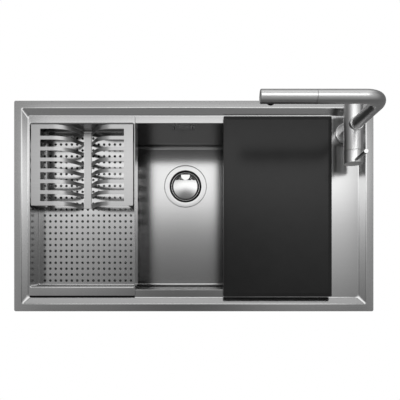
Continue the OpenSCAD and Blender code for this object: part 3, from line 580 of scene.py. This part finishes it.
class TapSizes(bpy.types.PropertyGroup):
    """Sizes of the tap, in millimetres."""
    x: FloatProperty(name="Tap X", description="Axis of the riser", default=369.5)
    y: FloatProperty(name="Tap Y", description="Axis of the riser", default=177.0)
    foot_r: FloatProperty(name="Foot radius", description="Round foot", default=25.0)
    stem_r: FloatProperty(name="Stem radius", description="Upright stem", default=21.0)
    body_r: FloatProperty(name="Body radius", description="Level body", default=21.5)
    body_z: FloatProperty(name="Body level", description="Axis of the level body", default=48.6)
    front: FloatProperty(name="Body front", description="Y of the seam to the lever", default=119.0)
    back: FloatProperty(name="Body back", description="Y of the body's end", default=229.0)
    lever_front: FloatProperty(name="Lever front", description="Y of the cap's face", default=90.0)
    pin_y: FloatProperty(name="Pin Y", description="Axis of the pin", default=95.4)
    pin_end: FloatProperty(name="Pin reach", description="From the body's axis", default=88.0)
    spout_r: FloatProperty(name="Spout radius", description="Tube", default=13.5)
    spout_z: FloatProperty(name="Spout level", description="Axis of the spout", default=216.6)
    bend_r: FloatProperty(name="Bend", description="Radius of the bend", default=38.0)
    head_x: FloatProperty(name="Head seam", description="X of the head's back end", default=237.5)
    end_x: FloatProperty(name="Head end", description="X of the head's front end", default=130.0)


class SinkLook(bpy.types.PropertyGroup):
    """Finishes and light."""
    steel_grey: FloatProperty(name="Steel grey", description="Reflectance", default=0.46)
    steel_roughness: FloatProperty(name="Steel roughness", description="Brushed finish", default=0.18)
    chrome_grey: FloatProperty(name="Chrome grey", description="Reflectance", default=0.8)
    chrome_roughness: FloatProperty(name="Chrome roughness", description="Polish", default=0.27)
    board_grey: FloatProperty(name="Board grey", description="Reflectance", default=0.019)
    world: FloatProperty(name="Room light", description="Brightness of the room", default=0.62)
    panel: FloatProperty(name="Panel light", description="Radiance of the overhead panel", default=2.3)
    wall: FloatProperty(name="Wall light", description="Radiance of the rear panel", default=0.4)


# Pieces

def basin_rings(s):
    """Rings from the bowl's floor, over the rim and back under the sheet."""
    hx, hy, r, t = s.bowl_l / 2, s.bowl_w / 2, s.bowl_r, s.sheet
    bottom, mouth, foot, brow, edge = r - 0.6, 1.5, 8.0, 7.0, 0.8
    rings = []
    for a in fan(90, 8):
        inset = bottom * (1 - math.sin(a))
        rings.append(ring(hx - inset, hy - inset, r - inset, s.floor_z + bottom * (1 - math.cos(a)), s.bowl_x))
    for a in fan(90, 4):
        off = mouth * (1 - math.cos(a))
        rings.append(ring(hx + off, hy + off, r + off, s.deck_z - mouth + mouth * math.sin(a), s.bowl_x))
    rec_x = s.deck_l / 2 - s.rim_w - s.slope_w
    rec_y = s.deck_w / 2 - s.rim_w - s.slope_w
    tilt = math.atan((s.rim_h - s.deck_z) / s.slope_w)
    half = math.tan(tilt / 2)

    def step_ring(off, z, plan_r, shift=0.0):
        return ring(rec_x + off + shift, rec_y + off, plan_r, z, -shift)

    lean = fan(math.degrees(tilt), 5)
    for a in lean:
        rings.append(step_ring(-foot * half + foot * math.sin(a), s.deck_z + foot * (1 - math.cos(a)), 9.0, 1.0))
    for a in reversed(lean):
        off = s.slope_w + brow * half - brow * math.sin(a)
        rings.append(step_ring(off, s.rim_h - brow + brow * math.cos(a), 5.0))
    outer = s.slope_w + s.rim_w
    for a in reversed(fan(90, 3)):
        rings.append(step_ring(outer - edge + edge * math.cos(a), s.rim_h - edge + edge * math.sin(a), 4.0))
    grow = t * half
    rings += [step_ring(outer, 0, 4.0), step_ring(outer - t, 0, 2.8), step_ring(outer - t, s.rim_h - t, 2.8),
              step_ring(s.slope_w + grow, s.rim_h - t, 8.0), step_ring(grow, s.deck_z - t, 1.8, 1.3),
              ring(hx + t, hy + t, r + t, s.deck_z - t, s.bowl_x)]
    bottom += t
    for a in reversed(fan(90, 8)):
        inset = bottom * (1 - math.sin(a))
        rings.append(ring(hx + t - inset, hy + t - inset, r + t - inset,
                          s.floor_z - t + bottom * (1 - math.cos(a)), s.bowl_x))
    return rings


def build_basin(s, m):
    """The sheet with its pressed drain seat and the holes for drain, tap and overflow."""
    obj = loft("Basin", basin_rings(s))
    drain = at(s.drain_x, s.drain_y, 0)
    tap = bpy.context.scene.tap_sizes
    seat_r, t = 61.5, s.sheet
    under, inside, above = s.seat_z - t, s.floor_z - 0.5, s.floor_z + 2
    add(obj, lathe("Seat", [(0, under), (seat_r, under), (seat_r + t, s.seat_z), (seat_r + t, inside), (0, inside)],
                   drain))
    cut(obj,
        lathe("Seat hollow", [(0, s.seat_z), (seat_r - 0.9, s.seat_z), (seat_r, s.floor_z), (seat_r, above),
                              (0, above)], drain),
        rod("Drain hole", 47.5, -210, -190, drain),
        rod("Tap hole", 17.5, -12, 0, at(tap.x, tap.y, 0)),
        prism("Overflow hole", rounded(29.4, 20.4, 9.4), -3, 3, at(s.drain_x, s.bowl_w / 2, OVERFLOW_Z, rx=90)))
    return dress(obj, "sink", ["basin"], m["stainless"], bevel=0.25, segments=2, angle=40)


def build_overflow(s, m):
    """A frame flush in the bowl's back wall, with a panel that two ties hold inside it."""
    place = at(s.drain_x, s.bowl_w / 2, OVERFLOW_Z, rx=-90)
    front, back = 0.05, 1.2
    frame_plate = prism("Overflow frame", rounded(29, 20, 9), front, back, place)
    cut(frame_plate, prism("Gap", rounded(23.4, 14.9, 5), -1, 3, place))
    panel = prism("Overflow panel", rounded(22, 13.5, 4), front, back, place)
    ties = [prism("Tie", rounded(2, 16.9, 0.5, x, 0, 2), back, back + 1, place) for x in (-11, 11)]
    obj = join("Overflow_Plate", [frame_plate, panel, *ties])
    return dress(obj, "sink", ["overflow_cover"], m["polished_steel"], bevel=0.25, segments=2)


def build_waste(s, m):
    """The flange with its dish, the basket and the domed cap."""
    centre = (s.drain_x, s.drain_y, 0)
    drain = at(*centre)
    around = cut_group("Cut Ring", True)
    z, dish = s.seat_z, -232.4
    flange = lathe("Waste_Flange", [
        (0, dish), (37.5, dish), (46.5, z - 5), (46.5, z + 0.8), (59.9, z + 0.8), (59.9, z + 2.2), (59.7, z + 2.6),
        (59.2, z + 2.8), (47.4, z + 2.8), (46.2, z + 2.4), (45.7, z + 1.2), (45.5, z - 0.4), (45.5, z - 5),
        (36.5, dish + 1), (0, dish + 1)], drain)
    cut(flange, rod("Screw hole", 3.1, -234, -230, drain, 24))
    repeat_cut(flange, around, rod("Hole", 5.5, -234, -230, None, 24), m["polished_steel"], centre,
               Count=6, Radius=16 * MM)
    dress(flange, "sink", ["waste_flange"], m["stainless"], bevel=0.2, segments=2)

    top, post = s.floor_z - 2, s.floor_z - 4.8
    low = top - 20
    basket = lathe("Strainer_Basket", [
        (0, low), (33, low), (34, low + 0.6), (39, top - 2.6), (42, top - 2.2), (42, top - 1.4), (41.5, top - 0.6),
        (40.8, top - 0.15), (40.1, top), (39.4, top - 0.15), (38.7, top - 0.6), (38.2, top - 1.4),
        (37.7, top - 2.0), (33.2, low + 1), (33.0, low + 0.8), (4, low + 0.8), (4, post), (0, post)], drain)
    for hole, radius in ((rod("Hole", 2.5, low - 1, low + 2, None, 20), 28),
                         (rod("Hole", 2.0, low - 1, low + 2, None, 20), 19),
                         (prism("Slot", rounded(6, 1.5, 1.4, 0, 0, 3), low + 4, top - 4), 38)):
        repeat_cut(basket, around, hole, m["polished_steel"], centre, Count=12, Radius=radius * MM)
    dress(basket, "strainer", ["strainer_basket"], m["polished_steel"], bevel=0.15, segments=1)

    apex, curve, cap_r = s.floor_z + 1.2, 480.0, 36.5
    dome = [(r, apex - r * r / curve) for r in (0, 6, 12, 18, 24, 30, 34, 36.1)]
    edge = apex - cap_r * cap_r / curve
    profile = [*dome, (cap_r, edge - 0.25), (cap_r, edge - 0.9), *[(r, z0 - 1.0) for r, z0 in reversed(dome)]]
    cap = lathe("Strainer_Cap", profile, drain, 128)
    open_r, chord_y, tab_r = 34.0, 18.25, 12.5
    a0 = math.degrees(math.asin(chord_y / open_r))
    cut(cap, prism("Window", arc(0, 0, open_r, a0, 180 - a0, 32), apex - 10, apex + 4, drain))
    half = [(-tab_r, open_r), *arc(0, 30.95, tab_r, 180, 360, 24), (tab_r, open_r)]
    tab = prism("Tab", half, apex - 3.2, apex - 1.8, drain)
    bead = prism("Tab bead", [(-12.4, 33.2), (12.4, 33.2), (12.4, 34.2), (-12.4, 34.2)], apex - 3.4, apex - 2.3, drain)
    hub = lathe("Hub", [(4.05, apex - 8), (8, apex - 8), (8, apex - 0.7), (4.05, apex - 0.7)], drain, 48)
    add(cap, tab, bead, hub)
    dress(cap, "strainer", ["strainer_cap"], m["polished_steel"], bevel=0.2, segments=2)


def build_colander(s, m):
    """Tray and floor in one skin, its drain holes cut by the grid group."""
    hx, hy, t = 126.5, 197.5, 1.2
    side_r, end_r, corner = 1.5, 3.5, 5.0
    top = s.tray_z
    floor = top - s.tray_depth
    cx, cy = s.tray_x, s.tray_y
    well_y = cy + 2
    heights = (0.0, 0.15, 0.4, 0.8, 1.2, 1.5, 2.0, 2.7, 3.6)

    def inset(h, radius):
        """How far the rounded bottom edge stands in at height h."""
        return radius - math.sqrt(radius ** 2 - (radius - h) ** 2) if h < radius else 0.0

    rings = [ring(hx - inset(h, side_r), hy - inset(h, end_r), corner, floor + h, cx, well_y) for h in heights]
    for a in fan(90, 5):
        out = 1 - math.cos(a)
        rings.append(ring(hx + 1.1 * out, hy + 4.5 * out, corner, top - 3 + 3 * math.sin(a), cx, well_y))
    rings += [ring(hx + 2.2, 218.2, 1.7, top, cx, cy), ring(hx + 2.5, 218.5, 2.0, top - 0.3, cx, cy),
              ring(hx + 2.5, 218.5, 2.0, top - t, cx, cy), ring(hx + t, hy + t, corner + t, top - t, cx, well_y)]
    for h in reversed(heights):
        rings.append(ring(hx + t - inset(h, side_r + t), hy + t - inset(h, end_r + t), corner,
                          floor - t + h * 1.2, cx, well_y))
    obj = loft("Colander", rings)
    repeat_cut(obj, cut_group("Cut Grid", False), rod("Hole", 3.25, -2.5, 1.5, None, 20), m["tray_steel"],
               (cx, cy - 1.2, floor), Count_X=17, Count_Y=25, Step_X=13.78 * MM, Step_Y=15.15 * MM)
    dress(obj, "colander", ["colander_tray", "perforated_floor"], m["tray_steel"], angle=40)
    # The front glide reaches 4.5 mm out past the flange's front edge, a near-black band that is painted shadow under
    # the flange; the glides under the flanges are real.
    glides = [prism("Glide", rounded(128, (y1 - y0) / 2, 1.0, cx, (y0 + y1) / 2, 4), top - 2.2, top - t)
              for y0, y1 in ((-222.0, -211.5), (212.5, 218.5))]
    return dress(join("Colander_Glides", glides), "colander", ["tray_glides"], m["glide_black"],
                 bevel=0.2, segments=2)


def rack_line(off):
    """The rack's bent line from its right wing to its bar, moved down from the top face by off."""
    angle, top_r, low_r, bar = 60.0, 54.0, 2.5, 8.3
    slope, both = math.radians(angle), top_r + low_r
    run = (RACK_DEPTH - both * (1 - math.cos(slope))) / math.sin(slope)
    flat = bar + both * math.sin(slope) + run * math.cos(slope)
    return [(RACK_REACH, -off),
            *[(flat - (top_r - off) * math.sin(a), -top_r + (top_r - off) * math.cos(a)) for a in fan(angle, 12)],
            *[(bar + (low_r + off) * math.sin(a), -RACK_DEPTH + low_r - (low_r + off) * math.cos(a))
              for a in reversed(fan(angle, 6))]]


def build_rack(s, m):
    """The bent and slotted sheet, rounded off at the back of its bar, and the four feet under its wings."""
    cy, half, thick, corner, foot = 100.75, 98.75, 1.5, 12, 3.5
    floor = s.tray_z - s.tray_depth
    top, low = rack_line(0.0), rack_line(thick)
    outline = top + [(-x, z) for x, z in reversed(top)] + [(-x, z) for x, z in low] + list(reversed(low))
    sheet = prism("Plate_Rack", outline, -half, half, at(s.tray_x, cy, s.tray_z, rx=90))
    end = [*arc(0, 0, corner - 0.3, -90, 0, 12), (24, 0), (24, -24), (0, -24)]
    cut(sheet, prism("Bar end", end, -130, 130, at(s.tray_x, cy + half + 1 - corner, floor + corner, rx=90, rz=90)))
    slot = prism("Slot", rounded(46.25, 8.8, 1.5, 0, 0, 4), -60, 10)
    repeat_cut(sheet, cut_group("Cut Grid", False), slot, m["rack_steel"], (s.tray_x, cy, s.tray_z),
               Count_X=2, Count_Y=7, Step_X=111.5 * MM, Step_Y=26.5 * MM)
    dress(sheet, "rack", ["rack_bar", "rack_tines", "rack_wings"], m["rack_steel"],
          bevel=0.3, segments=2, angle=40)
    shape = [(112, 0), (114.5, 0), (RACK_REACH, 6), (RACK_REACH, RACK_DEPTH), (112, RACK_DEPTH)]
    feet = [prism("Foot", [(side * x, z) for x, z in shape], -foot, foot, at(s.tray_x, cy + y, floor + 0.3, rx=90))
            for y in (foot - half, half - corner - foot) for side in (1, -1)]
    return dress(join("Rack_Feet", feet), "rack", ["rack_feet"], m["black_plastic"], bevel=0.5)


def build_board(m):
    """A flat board with a wide, low bevel around its top."""
    hx, hy = 130.25, 217.25
    x, y, z = 201.75, -1.95, -4.1
    steps = ((0.6, 2.4, 0.0), (0.0, 3.0, 0.6), (0.0, 3.0, 12.6), (0.5, 2.6, 13.05), (8.0, 1.2, 13.85), (8.8, 1.0, 14.0))
    obj = loft("Sliding_Board", [ring(hx - inset, hy - inset, r, z + up, x, y) for inset, r, up in steps])
    return dress(obj, "board", ["board"], m["board_black"], angle=60)


def build_tap(t, m):
    """Foot, T-shaped body, plug and collar."""
    place, behind = at(t.x, t.y, 0), at(t.x, t.back, t.body_z, rx=90)
    f, r, bore, low, high, plug_h = t.foot_r, t.body_r, 16.5, -4.4, 0.6, 3
    foot = lathe("Tap_Foot", [(bore, low), (f - 0.3, low), (f, low + 0.3), (f, high - 1.5), (f - 0.44, high - 0.44),
                              (f - 1.5, high), (bore, high)], place)
    dress(foot, "sink", ["tap_base"], m["chrome"])
    body = lathe("Tap_Body", [(0, high), (t.stem_r - 0.4, high), (t.stem_r, high + 0.4), (t.stem_r, t.body_z),
                              (0, t.body_z)], place, 128)
    long = t.back - plug_h - t.front
    add(body, lathe("Level", [(0, 0), (r, 0), (r, long - 0.3), (r - 0.3, long), (0, long)],
                    at(t.x, t.back - plug_h, t.body_z, rx=90), 128))
    cut(body,
        rod("Bore", 17, -5, 130, behind),
        lathe("Shank bore", [(0, -5), (16.45, -5), (16.45, 13.6), (11, 13.6), (11, 40), (0, 40)], place),
        rod("Neck", 15.75, t.body_z, 90, place))
    dress(body, "sink", ["tap_body"], m["chrome"], bevel=0.35, segments=2, angle=28)
    plug = lathe("Body_Plug", [(0, 0), (r - 0.8, 0), (r - 0.2, 0.25), (r, 0.8), (r, plug_h - 0.1), (r - 0.1, plug_h),
                               (16.95, plug_h), (16.95, 10), (0, 10)], behind, 128)
    dress(plug, "sink", ["body_plug"], m["chrome"])
    z0 = t.body_z + r - 6
    collar = lathe("Swivel_Collar", [(13.55, z0), (15.7, z0), (15.7, z0 + 9.4), (15.4, z0 + 9.85), (14.9, z0 + 10),
                                     (13.8, z0 + 10), (13.55, z0 + 9.8)], place)
    dress(collar, "sink", ["swivel_collar"], m["chrome"])


def build_spout(t, m):
    """One bent tube from the collar to the head's seam."""
    r, wall, edge, level = t.spout_r, 2, 0.25, math.radians(90)
    seam = (t.head_x + 0.4, t.y, t.spout_z)
    path = [((t.x, t.y, t.body_z + 4), 0.0)]
    path += [((t.x - t.bend_r * (1 - math.cos(a)), t.y, t.spout_z - t.bend_r * (1 - math.sin(a))), a)
             for a in fan(90, 32)]
    path.append(((seam[0] + edge, t.y, t.spout_z), level))

    def around(centre, a, radius, n=96):
        """A circle of points about the tube's line, which leans by a."""
        side = Vector((math.cos(a), 0, math.sin(a)))
        turns = [2 * math.pi * k / n for k in range(n)]
        return [tuple(Vector(centre) + side * (radius * math.cos(b)) + Vector((0, radius * math.sin(b), 0)))
                for b in turns]

    outer = [around(c, a, r) for c, a in path] + [around(seam, level, r - edge)]
    inner = [around(seam, level, r - wall)] + [around(c, a, r - wall) for c, a in reversed(path[:-1])]
    obj = loft("Spout", outer + inner, closed=True)
    return dress(obj, "spout", ["spout_tube"], m["chrome"])


def build_head(t, m):
    """The pull-out head and the black outlet under its end."""
    r, nose, wall = t.spout_r, 1.6, 2.5
    long, low = t.head_x - t.end_x, t.spout_z - r
    down = at(OUTLET_X, t.y, 0)
    profile = [(0, 0), *[(r - nose + nose * math.sin(a), nose - nose * math.cos(a)) for a in fan(90, 4)],
               (r, long - 0.25), (r - 0.25, long), (r - wall, long), (r - wall, wall), (0, wall)]
    head = lathe("Spray_Head", profile, at(t.end_x, t.y, t.spout_z, ry=90), 128)
    cut(head, rod("Outlet", 9.75, low - 5, t.spout_z, down, 64))
    dress(head, "spray_head", ["spray_head"], m["chrome"], bevel=0.2, segments=2, angle=28)
    outlet = lathe("Aerator", [(6.2, low - 8.3), (6.5, low - 8.5), (8.9, low - 8.5), (9.3, low - 8.1),
                               (9.5, low - 4.0), (9.7, low - 3.2), (9.7, low + 7), (6.2, low + 7)], down, 64)
    dress(outlet, "spray_head", ["aerator"], m["glide_black"])


def build_lever(t, m):
    """The turning cap and the pin that leans out of it."""
    r, seam = t.body_r, t.front - 0.4
    inside, long = r - 3.5, seam - t.lever_front
    profile = [(inside, 0), (r - 0.3, 0), (r, 0.3), (r, long - 1.2), (r - 0.35, long - 0.35), (r - 1.2, long),
               (0, long), (0, long - 4), (inside, long - 4)]
    cap = lathe("Lever_Cap", profile, at(t.x, seam, t.body_z, rx=90), 128)
    dress(cap, "lever", ["lever_cap"], m["chrome"])
    base, reach = r - 0.6, t.pin_end
    pin = lathe("Lever_Pin", [
        (0, 18), (2.4, 18), (2.4, base - 1), (3.7, base - 1), (3.75, base + 3), (4.86, reach - 0.9),
        (4.8, reach - 0.4), (4.6, reach - 0.1), (4.35, reach), (0, reach)], at(t.x, t.pin_y, t.body_z, ry=-3), 64)
    dress(pin, "lever", ["lever_pin"], m["polished_steel"])


def paint_hidden(m):
    """Gives every CAD node its slot's finish."""
    slots = {p["node"]: p["material_slot"] for p in frame["record"]["subparts"]}
    for name, obj in frame["nodes"].items():
        obj.data.materials.clear()
        obj.data.materials.append(m[slots[name]])


# Stage

def camera_sees(tree, shown, otherwise, out):
    """Shows one shader to the camera, and the other to all light and mirrors."""
    path = node(tree, "LightPath")
    mix = node(tree, "MixShader")
    link(tree, path.outputs["Is Camera Ray"], mix.inputs[0])
    link(tree, otherwise.outputs[0], mix.inputs[1])
    link(tree, shown.outputs[0], mix.inputs[2])
    link(tree, mix.outputs[0], out.inputs["Surface"])


def pale_floor(low):
    """A wide floor just under the sink: mid grey for the light, plain white for the camera."""
    half = 9000
    floor = new_object("Floor", [(-half, -half, 0), (half, -half, 0), (half, half, 0), (-half, half, 0)],
                       [(0, 1, 2, 3)], Matrix.Translation((0, 0, low - 1.5 * MM)))
    mat = bpy.data.materials.new("Pale Floor")
    tree = empty_tree(mat)
    glow = node(tree, "Emission")
    matt = node(tree, "BsdfDiffuse", Color=(*grey(0.3), 1))
    camera_sees(tree, glow, matt, node(tree, "OutputMaterial"))
    floor.data.materials.append(mat)
    return floor


def rear_light(radiance):
    """A wide upright panel behind the sink. One unit of radiance takes pi watts for each square metre."""
    wide, high = 3.6, 1.9
    light = bpy.data.lights.new("Rear Panel", "AREA")
    light.shape = "RECTANGLE"
    light.size = wide
    light.size_y = high
    light.energy = radiance * math.pi * wide * high
    obj = bpy.data.objects.new("Rear Panel", light)
    obj.location = (0.0, 1.9, 0.9)
    obj.rotation_euler = (math.radians(-90), 0, 0)
    obj.visible_camera = False
    bpy.context.scene.collection.objects.link(obj)


def soft_box(radiance):
    """A wide overhead panel, brightest behind the middle, that fades to the front and around the camera."""
    left, right, front, back, high = -982, 1020, -693, 892, 1500
    dim_spot = (-0.064, -0.126, 1.5)
    corners = [(left, front, high), (left, back, high), (right, back, high), (right, front, high)]
    obj = new_object("Softbox", corners, [(0, 1, 2, 3)])
    mat = bpy.data.materials.new("Softbox")
    tree = empty_tree(mat)
    out = node(tree, "OutputMaterial")
    glow = node(tree, "Emission", Strength=radiance)
    coord = node(tree, "TexCoord")
    parts = node(tree, "SeparateXYZ")
    away = node(tree, "VectorMath")
    away.operation = "DISTANCE"
    away.inputs[1].default_value = dim_spot
    link(tree, coord.outputs["Generated"], parts.inputs[0])
    link(tree, coord.outputs["Object"], away.inputs[0])
    front_to_back = grey_ramp(
        tree, parts.outputs["Y"], (0.0, 0.09), (0.2, 0.155), (0.26, 0.215), (0.37, 0.315), (0.45, 0.41),
        (0.53, 0.54), (0.6, 0.78), (0.66, 1.0), (0.83, 0.9), (0.92, 0.6), (0.955, 0.32), (1.0, 0.2))
    left_to_right = grey_ramp(
        tree, parts.outputs["X"], (0.0, 0.6), (0.03, 0.85), (0.2, 0.78), (0.3, 0.92), (0.45, 1.0), (0.95, 1.0),
        (1.0, 0.3))
    middle = grey_ramp(
        tree, away.outputs["Value"], (0.0, 0.38), (0.25, 0.4), (0.36, 0.58), (0.5, 0.85), (0.7, 1.0))
    sides = blend(tree, "MULTIPLY", 1.0, front_to_back, left_to_right)
    link(tree, blend(tree, "MULTIPLY", 1.0, sides, middle), glow.inputs["Color"])
    link(tree, glow.outputs[0], out.inputs["Surface"])
    obj.data.materials.append(mat)
    obj.visible_camera = False
    return obj


def bright_room(strength):
    """A room that is brighter above and behind, and plain white to the camera."""
    world = bpy.data.worlds.new("Room")
    tree = empty_tree(world)
    coord = node(tree, "TexCoord")
    parts = node(tree, "SeparateXYZ")
    half = node(tree, "MapRange", From_Min=-1.0)
    room = node(tree, "Background", Strength=strength)
    seen = node(tree, "Background", Color=(*grey(1.0), 1))
    link(tree, coord.outputs["Generated"], parts.inputs[0])
    link(tree, parts.outputs["Y"], half.inputs["Value"])
    upward = grey_ramp(tree, parts.outputs["Z"], (0.0, 0.2), (0.25, 0.4), (0.5, 0.75), (0.8, 1.0), (1.0, 1.0))
    backward = grey_ramp(tree, half.outputs["Result"], (0.0, 0.45), (0.5, 0.75), (1.0, 1.0))
    link(tree, blend(tree, "MULTIPLY", 1.0, upward, backward), room.inputs["Color"])
    camera_sees(tree, seen, room, node(tree, "OutputWorld"))
    return world


def build_stage(look):
    """Floor, light and camera."""
    scene = bpy.context.scene
    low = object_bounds()[0][2]
    floor = pale_floor(low)
    floor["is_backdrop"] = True
    scene.world = bright_room(look.world)
    soft_box(look.panel)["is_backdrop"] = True
    rear_light(look.wall)
    cam = bpy.data.cameras.new("Camera")
    cam.lens = 37.93
    cam.sensor_width = 36.0
    cam.shift_y = 0.175
    cam.clip_end = 50.0
    obj = bpy.data.objects.new("Camera", cam)
    obj.location = (0.015, -0.155, 1.0226)
    scene.collection.objects.link(obj)
    scene.camera = obj
    scene.view_settings.view_transform = "Standard"


# Operators

class SINK_OT_hidden(bpy.types.Operator):
    """Paint the construction pieces with their finishes"""
    bl_idname = "sink.paint_hidden"
    bl_label = "Paint Hidden Pieces"

    def execute(self, context):
        paint_hidden(finishes())
        return {"FINISHED"}


class SINK_OT_basin(bpy.types.Operator):
    """Build the pressed steel basin and its overflow plate"""
    bl_idname = "sink.build_basin"
    bl_label = "Build Basin"

    def execute(self, context):
        build_basin(context.scene.sink_sizes, finishes())
        build_overflow(context.scene.sink_sizes, finishes())
        return {"FINISHED"}


class SINK_OT_waste(bpy.types.Operator):
    """Build the drain flange, the strainer basket and its cap"""
    bl_idname = "sink.build_waste"
    bl_label = "Build Waste"

    def execute(self, context):
        build_waste(context.scene.sink_sizes, finishes())
        return {"FINISHED"}


class SINK_OT_colander(bpy.types.Operator):
    """Build the sliding colander"""
    bl_idname = "sink.build_colander"
    bl_label = "Build Colander"

    def execute(self, context):
        build_colander(context.scene.sink_sizes, finishes())
        return {"FINISHED"}


class SINK_OT_rack(bpy.types.Operator):
    """Build the plate rack and its feet"""
    bl_idname = "sink.build_rack"
    bl_label = "Build Plate Rack"

    def execute(self, context):
        build_rack(context.scene.sink_sizes, finishes())
        return {"FINISHED"}


class SINK_OT_board(bpy.types.Operator):
    """Build the sliding board"""
    bl_idname = "sink.build_board"
    bl_label = "Build Board"

    def execute(self, context):
        build_board(finishes())
        return {"FINISHED"}


class SINK_OT_tap(bpy.types.Operator):
    """Build the tap's foot, body, plug and collar"""
    bl_idname = "sink.build_tap"
    bl_label = "Build Tap Body"

    def execute(self, context):
        build_tap(context.scene.tap_sizes, finishes())
        return {"FINISHED"}


class SINK_OT_spout(bpy.types.Operator):
    """Build the bent spout and the pull-out head"""
    bl_idname = "sink.build_spout"
    bl_label = "Build Spout"

    def execute(self, context):
        build_spout(context.scene.tap_sizes, finishes())
        build_head(context.scene.tap_sizes, finishes())
        return {"FINISHED"}


class SINK_OT_lever(bpy.types.Operator):
    """Build the lever's cap and pin"""
    bl_idname = "sink.build_lever"
    bl_label = "Build Lever"

    def execute(self, context):
        build_lever(context.scene.tap_sizes, finishes())
        return {"FINISHED"}


class SINK_OT_stage(bpy.types.Operator):
    """Set up the floor, the light and the camera"""
    bl_idname = "sink.build_stage"
    bl_label = "Build Stage"

    def execute(self, context):
        build_stage(context.scene.sink_look)
        return {"FINISHED"}


class SINK_PT_panel(bpy.types.Panel):
    """Sizes, finishes and build steps of the sink"""
    bl_idname = "SINK_PT_panel"
    bl_label = "Kitchen Sink"
    bl_space_type = "VIEW_3D"
    bl_region_type = "UI"
    bl_category = "Sink"

    def draw(self, context):
        scene = context.scene
        for group in (scene.sink_sizes, scene.tap_sizes, scene.sink_look):
            box = self.layout.box()
            for key in group.__annotations__:
                box.prop(group, key)
        for step in STEPS:
            self.layout.operator(step.bl_idname)


STEPS = (SINK_OT_hidden, SINK_OT_basin, SINK_OT_waste, SINK_OT_colander, SINK_OT_rack, SINK_OT_board,
         SINK_OT_tap, SINK_OT_spout, SINK_OT_lever, SINK_OT_stage)
CLASSES = (SinkSizes, TapSizes, SinkLook, *STEPS, SINK_PT_panel)


def register():
    for cls in CLASSES:
        bpy.utils.register_class(cls)
    bpy.types.Scene.sink_sizes = PointerProperty(type=SinkSizes)
    bpy.types.Scene.tap_sizes = PointerProperty(type=TapSizes)
    bpy.types.Scene.sink_look = PointerProperty(type=SinkLook)


def unregister():
    del bpy.types.Scene.sink_look
    del bpy.types.Scene.tap_sizes
    del bpy.types.Scene.sink_sizes
    for cls in reversed(CLASSES):
        bpy.utils.unregister_class(cls)


def main():
    register()
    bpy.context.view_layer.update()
    bpy.ops.sink.paint_hidden()
    bpy.ops.sink.build_basin()
    bpy.ops.sink.build_waste()
    bpy.ops.sink.build_colander()
    bpy.ops.sink.build_rack()
    bpy.ops.sink.build_board()
    bpy.ops.sink.build_tap()
    bpy.ops.sink.build_spout()
    bpy.ops.sink.build_lever()
    bpy.ops.sink.build_stage()


if __name__ == "__main__":
    main()
